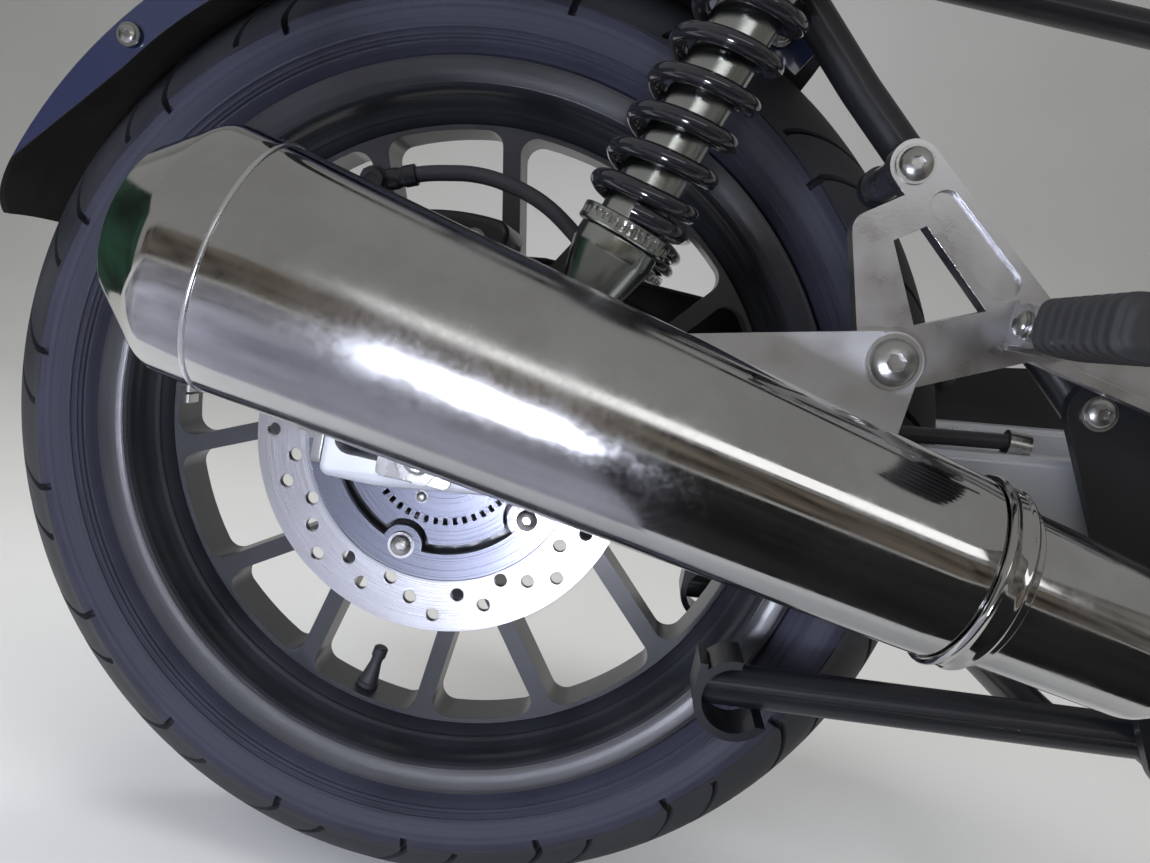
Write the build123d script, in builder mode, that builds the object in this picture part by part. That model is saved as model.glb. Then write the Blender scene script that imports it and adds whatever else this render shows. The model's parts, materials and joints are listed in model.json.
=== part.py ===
from build123d import *
import os
from math import cos, hypot, pi, radians, sin, sqrt, tan

os.makedirs("parts", exist_ok=True)

# Rear end of a twin-shock motorcycle, in millimetres.
# The origin is the middle of the swingarm pivot, +X forward, +Z up, and -Y to the rider's right.

# Wheel axle
axle_x = -480.0
axle_z = -60.0
axle_radius = 8.5
running_gap = 0.05
seat_gap = 0.25
bead_seat = 0.2

# Rim: half width and drop below the flange, outside from lip to well, inside from web to lip
flange_radius = 242.6
flange_inner = 44.5
bead_drop = 13.6
rim_outside = (
    (54.0, 0.0),
    (48.5, 0.0),
    (flange_inner, 4.0),
    (flange_inner, bead_drop),
    (27.0, bead_drop + 1),
    (17.0, 29.6),
)
rim_inside = (
    (10.0, 36.1),
    (20.0, 31.6),
    (25.0, 28.1),
    (27.0, 23.1),
    (38.0, 20.6),
    (47.0, 19.1),
    (51.0, 15.6),
    (53.0, 7.6),
    (54.0, 3.0),
)
bead_radius = flange_radius - bead_drop
rim_inner_radius = flange_radius - rim_inside[0][1]

# Tyre
tyre_section = 76.9
tyre_radius = flange_radius + tyre_section
tyre_half_width = 65.0
tread_half_width = 60.0
tread_crown_radius = 68.0
tyre_wall = 9.0
sidewall_bulge = 4.0
bead_step = 5.0
bead_lift = 3.0
bead_width = 13.0

# Spokes: pairs of arms that spread from the hub ring to the rim
pair_count = 7
first_pair_angle = 182.1
arm_width = 12.0
arm_depth = 34.0
arm_splay = 21.5
window_radius = rim_inner_radius - 1.5
window_corner = 11.0
window_apex = 5.0
hub_ring_radius = 82.0
web_overlap = 2.0

# Hub
hub_radius = 44.0
hub_right = -72.0
disc_flange_radius = 78.0
disc_flange_depth = 8.0
cush_radius = 74.0
cush_left = 36.0
cush_depth = 20.0
hub_fillet = 6.0
disc_boss_radius = 9.2

# Brake disc and the slotted ring inside it
disc_radius = 120.0
disc_inner_radius = 70.0
disc_band_radius = 91.0
disc_band_step = 4.0
disc_band_depth = 0.6
disc_thickness = 5.0
disc_face = -80.0
disc_bolt_circle = 70.0
disc_bolt_count = 5
disc_bolt_angle = 258.0
disc_bolt_radius = 4.2
disc_ear_radius = 13.0
disc_hole_radius = 4.2
disc_hole_step = 9.0
disc_hole_start = 232.1
disc_hole_circles = (109.5, 96.0, 104.7, 92.5, 100.7)
ring_radius = 65.2
ring_inner_radius = 26.0
ring_thickness = 3.0
ring_notch_gap = 3.0
ring_slot_count = 50
ring_slot_radius = 49.8
ring_slot_length = 4.4
ring_slot_width = 2.8

# Valve
valve_angle = 259.3
valve_base_radius = 8.0
valve_stem_radius = 4.2
valve_length = 32.0

# Sprocket
sprocket_teeth = 41
chain_pitch = 15.875
roller_radius = 5.2
sprocket_thickness = 6.5
sprocket_right = 74.0
carrier_radius = 66.0
sprocket_bolt_circle = 104.0
sprocket_bolt_count = 5
sprocket_bolt_radius = 5.2
sprocket_slot_length = 36.0
sprocket_slot_width = 13.0
carrier_lip = 4.0
carrier_nose = 3.0

# Swingarm
arm_inner = 100.0
arm_outer = 128.0
arm_end_radius = 24.0
arm_pivot_radius = 31.0
arm_knee_dx = 60.0
arm_knee_dz = 12.0
arm_tail_dx = -61.0
arm_tail_height = 50.0
arm_tail_length = 40.0
adjuster_plate = 6.0
adjuster_rod_radius = 4.0
slot_half_height = 9.5
slot_front = 22.0
slot_rear = -54.0
rod_gap = 0.2
adjuster_margin = 6.0
adjuster_corner = 4.0
adjuster_nut_radius = 7.5
adjuster_nut_height = 6.0
adjuster_rod_inside = 34.0
adjuster_rod_outside = 13.0
adjuster_block_length = 44.0
adjuster_block_margin = 7.0
adjuster_block_dx = -4.0
washer_thickness = 5.0
axle_nut_radius = 15.0
axle_nut_height = 13.0
axle_head_radius = 14.0
axle_head_height = 10.0
axle_thread = 16.0
axle_chamfer = 1.5
spacer_radius = 15.0
spacer_gap = 0.3
pivot_tube_radius = 25.0
pivot_shaft_radius = 10.0
pivot_bore_radius = 7.0
cross_tube_radius = 24.0
cross_tube_gap = 24.5
cross_tube_wall = 3.0
arm_edge_fillet = 5.0
arm_tail_corner = 6.0
foot_lug_depth = 10.0
foot_lug_radius = 6.0
foot_lug_height = 14.0
foot_lug_reach = (-32.0, 40.0)
shaft_hex_radius = 16.0
shaft_hex_height = 7.0
shaft_washer_radius = 20.0
cross_tube_x = axle_x + tyre_radius + cross_tube_gap + cross_tube_radius

# Caliper, its bracket and pads
bracket_gap = 6.0
bracket_thickness = 9.0
bracket_root_radius = 22.0
bracket_hole_circle = 62.0
bracket_hole_radius = 11.0
caliper_angle = 102.0
caliper_half_angle = 21.0
caliper_gap = 7.0
caliper_bridge = 13.0
caliper_reach = 34.0
caliper_right = -118.0
caliper_left = -57.0
caliper_corner = 8.0
caliper_edge = 4.0
caliper_boss_circle = 116.0
caliper_boss_radius = 19.0
caliper_boss_height = 7.0
caliper_boss_taper = 12.0
ear_circle = 96.0
ear_spread = 31.0
ear_size = 12.0
ear_bolt_radius = 4.2
ear_root_step = 14.0
pad_gap = 0.5
pad_thickness = 6.0
pad_inset = 3.0
pad_half_angle = 18.0

# Brake hose: places (x, z) from the axle, all in one plane, and the two clips on the arm
hose_radius = 4.5
hose_y = -112.0
hose_route = (
    (-52.0, 150.0),
    (-34.0, 157.0),
    (-2.0, 163.0),
    (34.0, 156.0),
    (66.0, 134.0),
    (92.0, 100.0),
    (126.0, 66.0),
    (168.0, 58.0),
    (240.0, 66.0),
    (330.0, 78.0),
)
clip_places = ((232.0, 65.0), (318.0, 76.0))
clip_wall = 3.0
clip_length = 12.0
clip_foot = 20.0

# Chain guard
chain_guard_y = 70.0
chain_guard_width = 26.0
chain_guard_wall = 2.0
chain_guard_top = 132.0
chain_guard_depth = 30.0
chain_guard_rear = -60.0
chain_guard_front = 300.0
chain_guard_boss = 48.0
chain_guard_lug_radius = 10.0
chain_guard_lug_inset = 50.0
chain_guard_bow = 10.0
chain_guard_knee = 20.0

# Shock absorbers
shock_y = 148.0
shock_length = 325.0
shock_lean = 18.2
shock_foot_dx = 69.0
shock_foot_dz = 92.0
eye_radius = 15.0
eye_width = 26.0
stud_radius = 6.0
stud_end = 9.0
shock_rod_radius = 8.0
shock_foot_start = 8.0
shock_foot_straight = 6.0
shock_taper_end = 8.0
collar_bevel = 2.0
damper_top_gap = 30.0
rod_end_gap = 4.0
top_cap_lip = 2.0
top_cap_height = 12.0
top_cap_taper = 10.0
rail_lug_radius = 13.0
shock_barrel_radius = 20.0
shock_foot_radius = 14.5
collar_radius = 25.5
collar_height = 9.0
collar_at = 50.0
spring_radius = 27.5
wire_radius = 5.25
spring_pitch = 27.0
spring_open_turns = 6
coil_gap = 0.6
inner_tube_radius = 19.0

# Silencers: two cones on one sloping axis, from the tail seam forward
silencer_dx = -77.0
silencer_y = 234.8
silencer_dz = 86.4
silencer_fall = 11.0
silencer_toe_in = 3.0
silencer_length = 371.0
silencer_rear_radius = 59.0
silencer_front_radius = 43.0
silencer_wall = 2.0
cap_length = 24.0
cap_cone_length = 18.0
cap_corner = 12.0
outlet_radius = 34.0
clamp_length = 21.0
clamp_radius = 42.5
pipe_neck_radius = 37.5
pipe_mid_radius = 33.5
pipe_length = 128.0
pipe_overlap = 6.0
pipe_taper = 26.0
slip_gap = 0.2
clamp_lip = 3.0
clamp_bevel = 2.0
sleeve_overlap = 4.0
outlet_depth = 30.0
outlet_floor = 3.0
hanger_y = -183.0
hanger_thickness = 6.0
hanger_boss = (228.0, 105.0)
hanger_boss_radius = 15.0
hanger_bolt_radius = 5.0
hanger_corners = ((118.0, 50.0), (128.0, 98.0), (220.0, 119.0), (242.0, 105.0), (236.0, 40.0))
inlet_radius = 19.2
inlet_length = 45.0

# Mudguard
guard_gap = 30.5
guard_radius = tyre_radius + guard_gap
guard_half_width = 84.0
guard_edge_drop = 48.0
guard_edge_radius = guard_radius - guard_edge_drop
guard_trim = ((-224, 201), (-420, -8), (-200, -8))
guard_wall = 2.0
guard_crown_drop = 26.0
guard_strap_width = 40.0
guard_strap_wall = 3.0
guard_front_angle = 58.0
guard_rear_angle = 166.0

# Rear frame
plate_inner = 131.0
plate_thickness = 8.0
rail_y = 103.0
rail_radius = 13.0
rail_front_x = 40.0
rail_rear_x = -520.0
rail_slope = 0.04
tube_step = 3.0
stay_radius = 11.0
stay_foot = (-130.0, 42.0)
stay_knee = (-285.0, 190.0)
stay_head_x = -431.0
stay_head_drop = 8.0
stay_bend = 120.0
stay_ear = (22.0, 8.0, 9.0)
rear_tube_dx = -30.0
front_tube_x = -330.0
stand_pivot_x = -35.0
stand_pivot_z = -132.0
plate_points = (
    (*stay_foot, 16.0),
    (stand_pivot_x, stand_pivot_z, 20.0),
    (30.0, -120.0, 18.0),
    (40.0, 70.0, 18.0),
)
frame_bolt_radius = 5.25
frame_bolt_spacing = 90.0
frame_bolt_x = 34.0
frame_bolt_z = -25.0
lower_tube_x = 30.0
lower_tube_z = -110.0
lower_tube_radius = 14.0
lower_tube_wall = 3.0

# Step holders and passenger pegs
holder_thickness = 12.0
holder_places = (
    ("top", 217.0, 199.0, 12.0),
    ("shoulder", 231.0, 184.0, 9.0),
    ("heel", 204.0, 165.0, 9.0),
    ("boss", *hanger_boss, hanger_boss_radius),
    ("elbow", 292.0, 134.0, 14.0),
    ("front", 402.0, 112.0, 15.0),
)
holder_links = (
    ("top", "elbow"),
    ("shoulder", "heel"),
    ("heel", "boss"),
    ("elbow", "boss"),
    ("elbow", "front"),
)
holder_spacer_step = 3.0
holder_pocket_depth = 3.0
holder_rib = 5.0
pocket_spans = (("top", "elbow", 0.25, 0.72), ("elbow", "front", 0.24, 0.78))
peg_seat_height = 24.0
peg_seat_depth = 6.0
peg_ear_radius = 10.0
peg_knuckle_radius = 8.0
peg_neck_length = 20.0
peg_neck_height = 13.0
peg_bar_start = 16.0
peg_corner = 7.0
peg_end_fillet = 4.0
peg_side_gap = 0.4
peg_offset = 18.0
peg_tongue = 14.0
peg_ear = 6.0
peg_pin_radius = 4.0
peg_width = 30.0
peg_height = 22.0
peg_length = 78.0

# Centre stand
stand_leg = 262.0
stand_y = 110.0
stand_tube_radius = 12.5
stand_fold = 6.0
stand_bar_reach = 62.0
stand_pin_radius = 7.0
stand_shoe_radius = 24.0
stand_shoe_wall = 5.0
stand_shoe_width = 34.0
stand_shoe_drop = 2.0
stand_shoe_heel = 18.0
stand_lug_radius = 17.0

wheel_section = Plane(origin=(axle_x, 0, axle_z), x_dir=(0, 1, 0), z_dir=(1, 0, 0))
axle_line = Axis((axle_x, 0, axle_z), (0, 1, 0))


def wheel_face(y):
    """Plane across the wheel at the place y, seen from the rider's right."""
    return Plane(origin=(axle_x, y, axle_z), x_dir=(1, 0, 0), z_dir=(0, -1, 0))


def side_face(y):
    """Plane along the machine at the place y, with the pivot as its origin."""
    return Plane(origin=(0, y, 0), x_dir=(1, 0, 0), z_dir=(0, -1, 0))


def polar(radius, angle):
    return (radius * cos(radians(angle)), radius * sin(radians(angle)))


def keep(piece, name):
    piece.part.label = name
    export_step(piece.part, f"parts/{name}.step")


def keep_pair(piece, name):
    """Write the right-hand piece and its mirror image on the left."""
    keep(piece, f"{name}_right")
    with BuildPart() as other:
        mirror(piece.part, about=Plane.XZ)
    keep(other, f"{name}_left")


# Tyre
bead_face = flange_inner - bead_seat
bead_throat = bead_width - bead_lift - 1
inner_radius = tyre_radius - tyre_wall
shoulder_radius = tyre_radius - tread_crown_radius + sqrt(tread_crown_radius**2 - tread_half_width**2)
side_radius = 0.5 * (shoulder_radius + flange_radius)
with BuildPart() as tyre:
    with BuildSketch(wheel_section):
        with BuildLine():
            ThreePointArc((-tread_half_width, shoulder_radius), (0, tyre_radius), (tread_half_width, shoulder_radius))
            for turn in (1, -1):
                shoulder = (turn * tread_half_width, shoulder_radius)
                bead_top = (turn * (bead_face + bead_step), flange_radius + bead_lift)
                throat = (turn * (bead_face - bead_throat), flange_radius - 1)
                shoulder_inside = (turn * (tread_half_width - tyre_wall), shoulder_radius - tyre_wall / 2)
                ThreePointArc(shoulder, (turn * tyre_half_width, side_radius + sidewall_bulge), bead_top)
                Polyline(
                    bead_top,
                    (turn * bead_face, flange_radius - 1),
                    (turn * bead_face, bead_radius),
                    (turn * (bead_face - bead_width), bead_radius),
                    throat,
                )
                ThreePointArc(throat, (turn * (tyre_half_width - tyre_wall), side_radius), shoulder_inside)
            ThreePointArc(
                (tread_half_width - tyre_wall, shoulder_radius - tyre_wall / 2),
                (0, inner_radius),
                (tyre_wall - tread_half_width, shoulder_radius - tyre_wall / 2),
            )
        make_face()
    revolve(axis=axle_line)
keep(tyre, "tyre")


# Cast wheel: rim ring, web of arms with its windows cut out, hub and flanges
def edge_point(start, angle, radius):
    """Where the line from start along angle crosses the circle about the axle."""
    step = (cos(radians(angle)), sin(radians(angle)))
    along = start[0] * step[0] + start[1] * step[1]
    reach = sqrt(along**2 - start[0] ** 2 - start[1] ** 2 + radius**2) - along
    return (start[0] + reach * step[0], start[1] + reach * step[1])


def arm_edge(angle, side):
    """A point on an arm's long edge at the rim, for an arm that runs along angle."""
    tip = polar(window_radius, 180 / pair_count / 2)
    half = side * arm_width / 2
    return (tip[0] - half * sin(radians(angle)), tip[1] + half * cos(radians(angle)))


inner_edge = arm_edge(arm_splay, -1)
apex = (inner_edge[0] - inner_edge[1] / tan(radians(arm_splay)), 0)
inner_corner = edge_point(inner_edge, arm_splay, window_radius)
with BuildSketch() as pair_window:
    with BuildLine():
        Line(apex, inner_corner)
        ThreePointArc(inner_corner, (window_radius, 0), (inner_corner[0], -inner_corner[1]))
        Line((inner_corner[0], -inner_corner[1]), apex)
    make_face()
    fillet(pair_window.vertices().sort_by(Axis.X)[0], window_apex)
    fillet(pair_window.vertices().sort_by(Axis.X)[-2:], window_corner)

gap_angle = 180 / pair_count - arm_splay
gap_edge = arm_edge(gap_angle, -1)
gap_outer = edge_point(gap_edge, gap_angle, window_radius)
gap_inner = edge_point(gap_edge, gap_angle, hub_ring_radius)
with BuildSketch() as gap_window:
    with BuildLine():
        Line(gap_inner, gap_outer)
        ThreePointArc(gap_outer, (window_radius, 0), (gap_outer[0], -gap_outer[1]))
        Line((gap_outer[0], -gap_outer[1]), (gap_inner[0], -gap_inner[1]))
        ThreePointArc((gap_inner[0], -gap_inner[1]), (hub_ring_radius, 0), gap_inner)
    make_face()
    fillet(gap_window.vertices().sort_by(Axis.X)[:2], window_apex)
    fillet(gap_window.vertices().sort_by(Axis.X)[-2:], window_corner)

disc_back = disc_face + disc_thickness
with BuildPart() as cast_wheel:
    with BuildSketch(wheel_section):
        with BuildLine():
            half_outline = [(width, flange_radius - drop) for width, drop in rim_outside[::-1] + rim_inside[::-1]]
            Polyline(*half_outline, *[(-width, radius) for width, radius in half_outline[::-1]], close=True)
        make_face()
    revolve(axis=axle_line)
    with BuildSketch(wheel_face(0)):
        Circle(rim_inner_radius + web_overlap)
        with PolarLocations(0, pair_count, start_angle=first_pair_angle):
            add(pair_window.sketch, mode=Mode.SUBTRACT)
        with PolarLocations(0, pair_count, start_angle=first_pair_angle + 180 / pair_count):
            add(gap_window.sketch, mode=Mode.SUBTRACT)
    extrude(amount=arm_depth / 2, both=True)
    with BuildSketch(wheel_section):
        with BuildLine():
            Polyline(
                (hub_right, 0),
                (hub_right, hub_radius),
                (disc_back + disc_flange_depth + hub_fillet, hub_radius),
                (disc_back + disc_flange_depth, disc_flange_radius),
                (disc_back + 2 * disc_flange_depth, disc_flange_radius),
                (disc_back + 2 * disc_flange_depth + hub_fillet, hub_radius),
                (-arm_depth / 2, hub_radius + hub_fillet),
                (cush_left - cush_depth, cush_radius),
                (cush_left, cush_radius),
                (cush_left, 0),
                close=True,
            )
        make_face()
    revolve(axis=axle_line)
    with BuildSketch(wheel_face(disc_back)):
        with PolarLocations(disc_bolt_circle, disc_bolt_count, start_angle=disc_bolt_angle):
            Circle(disc_boss_radius)
    extrude(amount=-disc_flange_depth - 1)
    with BuildSketch(wheel_face(hub_right - 1)):
        Circle(axle_radius + running_gap)
    extrude(amount=-(cush_left - hub_right) - 2, mode=Mode.SUBTRACT)
keep(cast_wheel, "cast_wheel")

# Tyre valve, seated on the rim well's inner wall
valve_plane = Plane(
    origin=(axle_x, 0, axle_z),
    x_dir=(0, 1, 0),
    z_dir=(cos(radians(valve_angle)), 0, sin(radians(valve_angle))),
)
with BuildPart() as valve_stem:
    with BuildSketch(valve_plane.offset(window_radius - seat_gap)):
        Circle(valve_base_radius)
    extrude(amount=seat_gap - 4)
    with BuildSketch(valve_plane.offset(window_radius - 4)):
        Circle(valve_base_radius - 1)
    with BuildSketch(valve_plane.offset(window_radius - valve_length * 0.6)):
        Circle(valve_stem_radius)
    loft()
    with BuildSketch(valve_plane.offset(window_radius - valve_length * 0.6)):
        Circle(valve_stem_radius)
    extrude(amount=-valve_length * 0.4)
    with BuildSketch(valve_plane.offset(window_radius - valve_length * 0.75)):
        Circle(valve_stem_radius + 1)
    extrude(amount=-valve_length * 0.22)
keep(valve_stem, "valve_stem")

# Brake disc
with BuildPart() as brake_disc:
    with BuildSketch(wheel_face(disc_face)):
        Circle(disc_radius)
        Circle(disc_inner_radius, mode=Mode.SUBTRACT)
        with PolarLocations(disc_bolt_circle, disc_bolt_count, start_angle=disc_bolt_angle):
            Circle(disc_ear_radius)
            Circle(disc_bolt_radius, mode=Mode.SUBTRACT)
        for circle_index, circle_radius in enumerate(disc_hole_circles):
            hole_angle = disc_hole_start + disc_hole_step * circle_index
            repeats = round(360 / disc_hole_step / len(disc_hole_circles))
            with PolarLocations(circle_radius, repeats, start_angle=hole_angle):
                Circle(disc_hole_radius, mode=Mode.SUBTRACT)
    extrude(amount=-disc_thickness)
    with BuildSketch(wheel_face(disc_face)):
        Circle(disc_band_radius - disc_band_step)
    extrude(amount=-disc_band_depth, mode=Mode.SUBTRACT)
keep(brake_disc, "brake_disc")

# Slotted speed ring on the hub's end face
with BuildPart() as speed_ring:
    with BuildSketch(wheel_face(hub_right)):
        Circle(ring_radius)
        Circle(ring_inner_radius, mode=Mode.SUBTRACT)
        with PolarLocations(disc_bolt_circle, disc_bolt_count, start_angle=disc_bolt_angle):
            Circle(disc_ear_radius + ring_notch_gap, mode=Mode.SUBTRACT)
        with PolarLocations(ring_slot_radius, ring_slot_count):
            Rectangle(ring_slot_length, ring_slot_width, mode=Mode.SUBTRACT)
    extrude(amount=ring_thickness)
keep(speed_ring, "speed_ring")

# Sprocket carrier and sprocket on the left
with BuildPart() as sprocket_carrier:
    with BuildSketch(wheel_section):
        with BuildLine():
            Polyline(
                (cush_left, axle_radius + running_gap),
                (cush_left, carrier_radius + carrier_lip),
                (sprocket_right - sprocket_thickness, carrier_radius),
                (sprocket_right, carrier_radius),
                (sprocket_right, hub_radius),
                (sprocket_right + sprocket_thickness + carrier_nose, hub_radius - carrier_lip),
                (sprocket_right + sprocket_thickness + carrier_nose, axle_radius + running_gap),
                close=True,
            )
        make_face()
    revolve(axis=axle_line)
keep(sprocket_carrier, "sprocket_carrier")

pitch_radius = chain_pitch / 2 / sin(radians(180 / sprocket_teeth))
with BuildPart() as rear_sprocket:
    with BuildSketch(wheel_face(sprocket_right)):
        Circle(pitch_radius + roller_radius * 0.8)
        Circle(hub_radius + 0.2, mode=Mode.SUBTRACT)
        with PolarLocations(pitch_radius, sprocket_teeth):
            Circle(roller_radius, mode=Mode.SUBTRACT)
        with PolarLocations(0.5 * (pitch_radius + carrier_radius), sprocket_bolt_count, start_angle=18):
            SlotOverall(sprocket_slot_length, sprocket_slot_width, rotation=90, mode=Mode.SUBTRACT)
        with PolarLocations(sprocket_bolt_circle / 2, sprocket_bolt_count, start_angle=54):
            Circle(sprocket_bolt_radius, mode=Mode.SUBTRACT)
    extrude(amount=-sprocket_thickness)
keep(rear_sprocket, "rear_sprocket")

# Swingarm: two arms, a pivot tube and a bridge tube
knee = (axle_x + arm_knee_dx, axle_z + arm_knee_dz)
tail = (axle_x + arm_tail_dx + arm_tail_length / 2, axle_z)
foot = (axle_x + shock_foot_dx, axle_z + shock_foot_dz)
arm_middle = 0.5 * (arm_inner + arm_outer)
with BuildPart() as swingarm_arm:
    with BuildSketch(side_face(-arm_inner)):
        with Locations(knee):
            Circle(arm_end_radius + 1)
        with Locations(tail):
            RectangleRounded(arm_tail_length, arm_tail_height, arm_tail_corner)
        make_hull()
    extrude(amount=arm_outer - arm_inner)
    with BuildSketch(side_face(-arm_inner)):
        with Locations(knee):
            Circle(arm_end_radius + 1)
        Circle(arm_pivot_radius)
        make_hull()
    extrude(amount=arm_outer - arm_inner)
    fillet(swingarm_arm.faces().filter_by(Axis.Y).edges(), arm_edge_fillet)
    with BuildSketch(side_face(-arm_outer)):
        with Locations((axle_x + 0.5 * (slot_front + slot_rear), axle_z)):
            SlotOverall(slot_front - slot_rear, 2 * slot_half_height)
    extrude(amount=-(arm_outer - arm_inner), mode=Mode.SUBTRACT)
    with BuildSketch(side_face(-arm_outer)):
        Circle(pivot_shaft_radius)
    extrude(amount=-(arm_outer - arm_inner), mode=Mode.SUBTRACT)
    with BuildSketch(Plane(origin=(axle_x + arm_tail_dx - 1, -arm_middle, axle_z), z_dir=(1, 0, 0))):
        Circle(adjuster_rod_radius + rod_gap)
    extrude(amount=slot_rear - arm_tail_dx + slot_half_height, mode=Mode.SUBTRACT)
    with BuildSketch(side_face(-arm_outer + foot_lug_depth)):
        with Locations(foot):
            Circle(eye_radius)
        with Locations(*[(foot[0] + reach, knee[1] + foot_lug_height) for reach in foot_lug_reach]):
            Circle(foot_lug_radius)
        make_hull()
    extrude(amount=foot_lug_depth)
    with BuildSketch(side_face(-arm_outer)):
        with Locations(foot):
            Circle(stud_radius)
    extrude(amount=shock_y + eye_width / 2 + stud_end - arm_outer)
keep_pair(swingarm_arm, "swingarm_arm")

with BuildPart() as swingarm_pivot_tube:
    with BuildSketch(side_face(-arm_inner)):
        Circle(pivot_tube_radius)
        Circle(pivot_shaft_radius, mode=Mode.SUBTRACT)
    extrude(amount=-2 * arm_inner)
keep(swingarm_pivot_tube, "swingarm_pivot_tube")

bridge_z = cross_tube_x * axle_z / axle_x
with BuildPart() as swingarm_bridge:
    with BuildSketch(side_face(-arm_inner)):
        with Locations((cross_tube_x, bridge_z)):
            Circle(cross_tube_radius)
            Circle(cross_tube_radius - cross_tube_wall, mode=Mode.SUBTRACT)
    extrude(amount=-2 * arm_inner)
keep(swingarm_bridge, "swingarm_bridge")

# Pivot shaft: a hollow shaft through both frame plates
plate_outer = plate_inner + plate_thickness
shaft_half = plate_outer + shaft_hex_height
with BuildPart() as pivot_shaft:
    with BuildSketch(side_face(-shaft_half)):
        Circle(pivot_shaft_radius)
        Circle(pivot_bore_radius, mode=Mode.SUBTRACT)
    extrude(amount=-2 * shaft_half)
    for seat_y in (-shaft_half, plate_outer):
        with BuildSketch(side_face(seat_y)):
            RegularPolygon(shaft_hex_radius, 6)
            Circle(pivot_shaft_radius - 1, mode=Mode.SUBTRACT)
        extrude(amount=-(shaft_half - plate_outer))
    for seat_y in (-plate_inner, arm_outer):
        with BuildSketch(side_face(seat_y)):
            Circle(shaft_washer_radius)
            Circle(pivot_shaft_radius - 1, mode=Mode.SUBTRACT)
        extrude(amount=-(plate_inner - arm_outer))
keep(pivot_shaft, "pivot_shaft")

# Axle, its nut, and the spacers that hold the wheel between the arms
bracket_inner = disc_face - bracket_gap
axle_half = arm_outer + washer_thickness
with BuildPart() as wheel_axle:
    with BuildSketch(wheel_face(-axle_half - axle_thread)):
        Circle(axle_radius)
    extrude(amount=-(2 * axle_half + axle_thread))
    with BuildSketch(wheel_face(axle_half)):
        RegularPolygon(axle_head_radius, 6)
    extrude(amount=-axle_head_height)
    chamfer(wheel_axle.faces().sort_by(Axis.Y)[0].edges(), axle_chamfer)
keep(wheel_axle, "wheel_axle")

with BuildPart() as axle_nut:
    with BuildSketch(wheel_face(-axle_half)):
        RegularPolygon(axle_nut_radius, 6)
        Circle(axle_radius, mode=Mode.SUBTRACT)
    extrude(amount=axle_nut_height)
keep(axle_nut, "axle_nut")

spacer_spans = (
    (hub_right - spacer_gap, bracket_inner, spacer_radius),
    (bracket_inner - bracket_thickness, -arm_inner, spacer_radius + 1),
    (sprocket_right + sprocket_thickness + carrier_nose + spacer_gap, arm_inner, spacer_radius),
)
with BuildPart() as axle_spacers:
    for start_y, end_y, outer_radius in spacer_spans:
        with BuildSketch(wheel_face(start_y)):
            Circle(outer_radius)
            Circle(axle_radius, mode=Mode.SUBTRACT)
        extrude(amount=start_y - end_y)
keep(axle_spacers, "axle_spacers")

# Chain adjusters: a block against the arm and a bolt out of its tail
with BuildPart() as chain_adjuster:
    with BuildSketch(side_face(-arm_outer)):
        with Locations((axle_x + adjuster_block_dx, axle_z)):
            RectangleRounded(
                adjuster_block_length, 2 * (slot_half_height + adjuster_block_margin), adjuster_corner
            )
        with Locations((axle_x, axle_z)):
            Circle(axle_radius, mode=Mode.SUBTRACT)
    extrude(amount=washer_thickness)
keep_pair(chain_adjuster, "chain_adjuster")

bolt_plane = Plane(origin=(axle_x + arm_tail_dx, 0, axle_z), x_dir=(0, 1, 0), z_dir=(-1, 0, 0))
adjuster_stack = (
    (0.0, adjuster_plate, (arm_outer - arm_inner - 4, arm_tail_height - 2 * adjuster_margin)),
    (adjuster_plate, adjuster_nut_height, None),
)
with BuildPart() as adjuster_bolts:
    for bolt_y in (-arm_middle, arm_middle):
        for start, thickness, plate_size in adjuster_stack:
            with BuildSketch(bolt_plane.offset(start)):
                with Locations((bolt_y, 0)):
                    if plate_size:
                        RectangleRounded(*plate_size, adjuster_corner)
                    else:
                        RegularPolygon(adjuster_nut_radius, 6)
            extrude(amount=thickness)
        with BuildSketch(bolt_plane.offset(-adjuster_rod_inside)):
            with Locations((bolt_y, 0)):
                Circle(adjuster_rod_radius)
        extrude(amount=adjuster_rod_inside + adjuster_plate + adjuster_rod_outside)
keep(adjuster_bolts, "adjuster_bolts")

# Brake: bracket on the axle, caliper over the disc, two pads
caliper_space = disc_radius + caliper_gap
caliper_outer_radius = caliper_space + caliper_bridge
caliper_inner_radius = disc_radius - caliper_reach
ear_angles = (caliper_angle - ear_spread, caliper_angle + ear_spread)
with BuildPart() as caliper_bracket:
    for ear_angle in ear_angles:
        with BuildSketch(wheel_face(bracket_inner)):
            Circle(bracket_root_radius)
            with Locations(polar(ear_circle, ear_angle)):
                Circle(ear_size)
            make_hull()
            Circle(axle_radius, mode=Mode.SUBTRACT)
            with Locations(polar(ear_circle, ear_angle)):
                Circle(ear_bolt_radius, mode=Mode.SUBTRACT)
        extrude(amount=bracket_thickness)
    with BuildSketch(wheel_face(bracket_inner)):
        with Locations(polar(bracket_hole_circle, caliper_angle)):
            Circle(bracket_hole_radius)
    extrude(amount=bracket_thickness, mode=Mode.SUBTRACT)
keep(caliper_bracket, "caliper_bracket")

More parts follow.
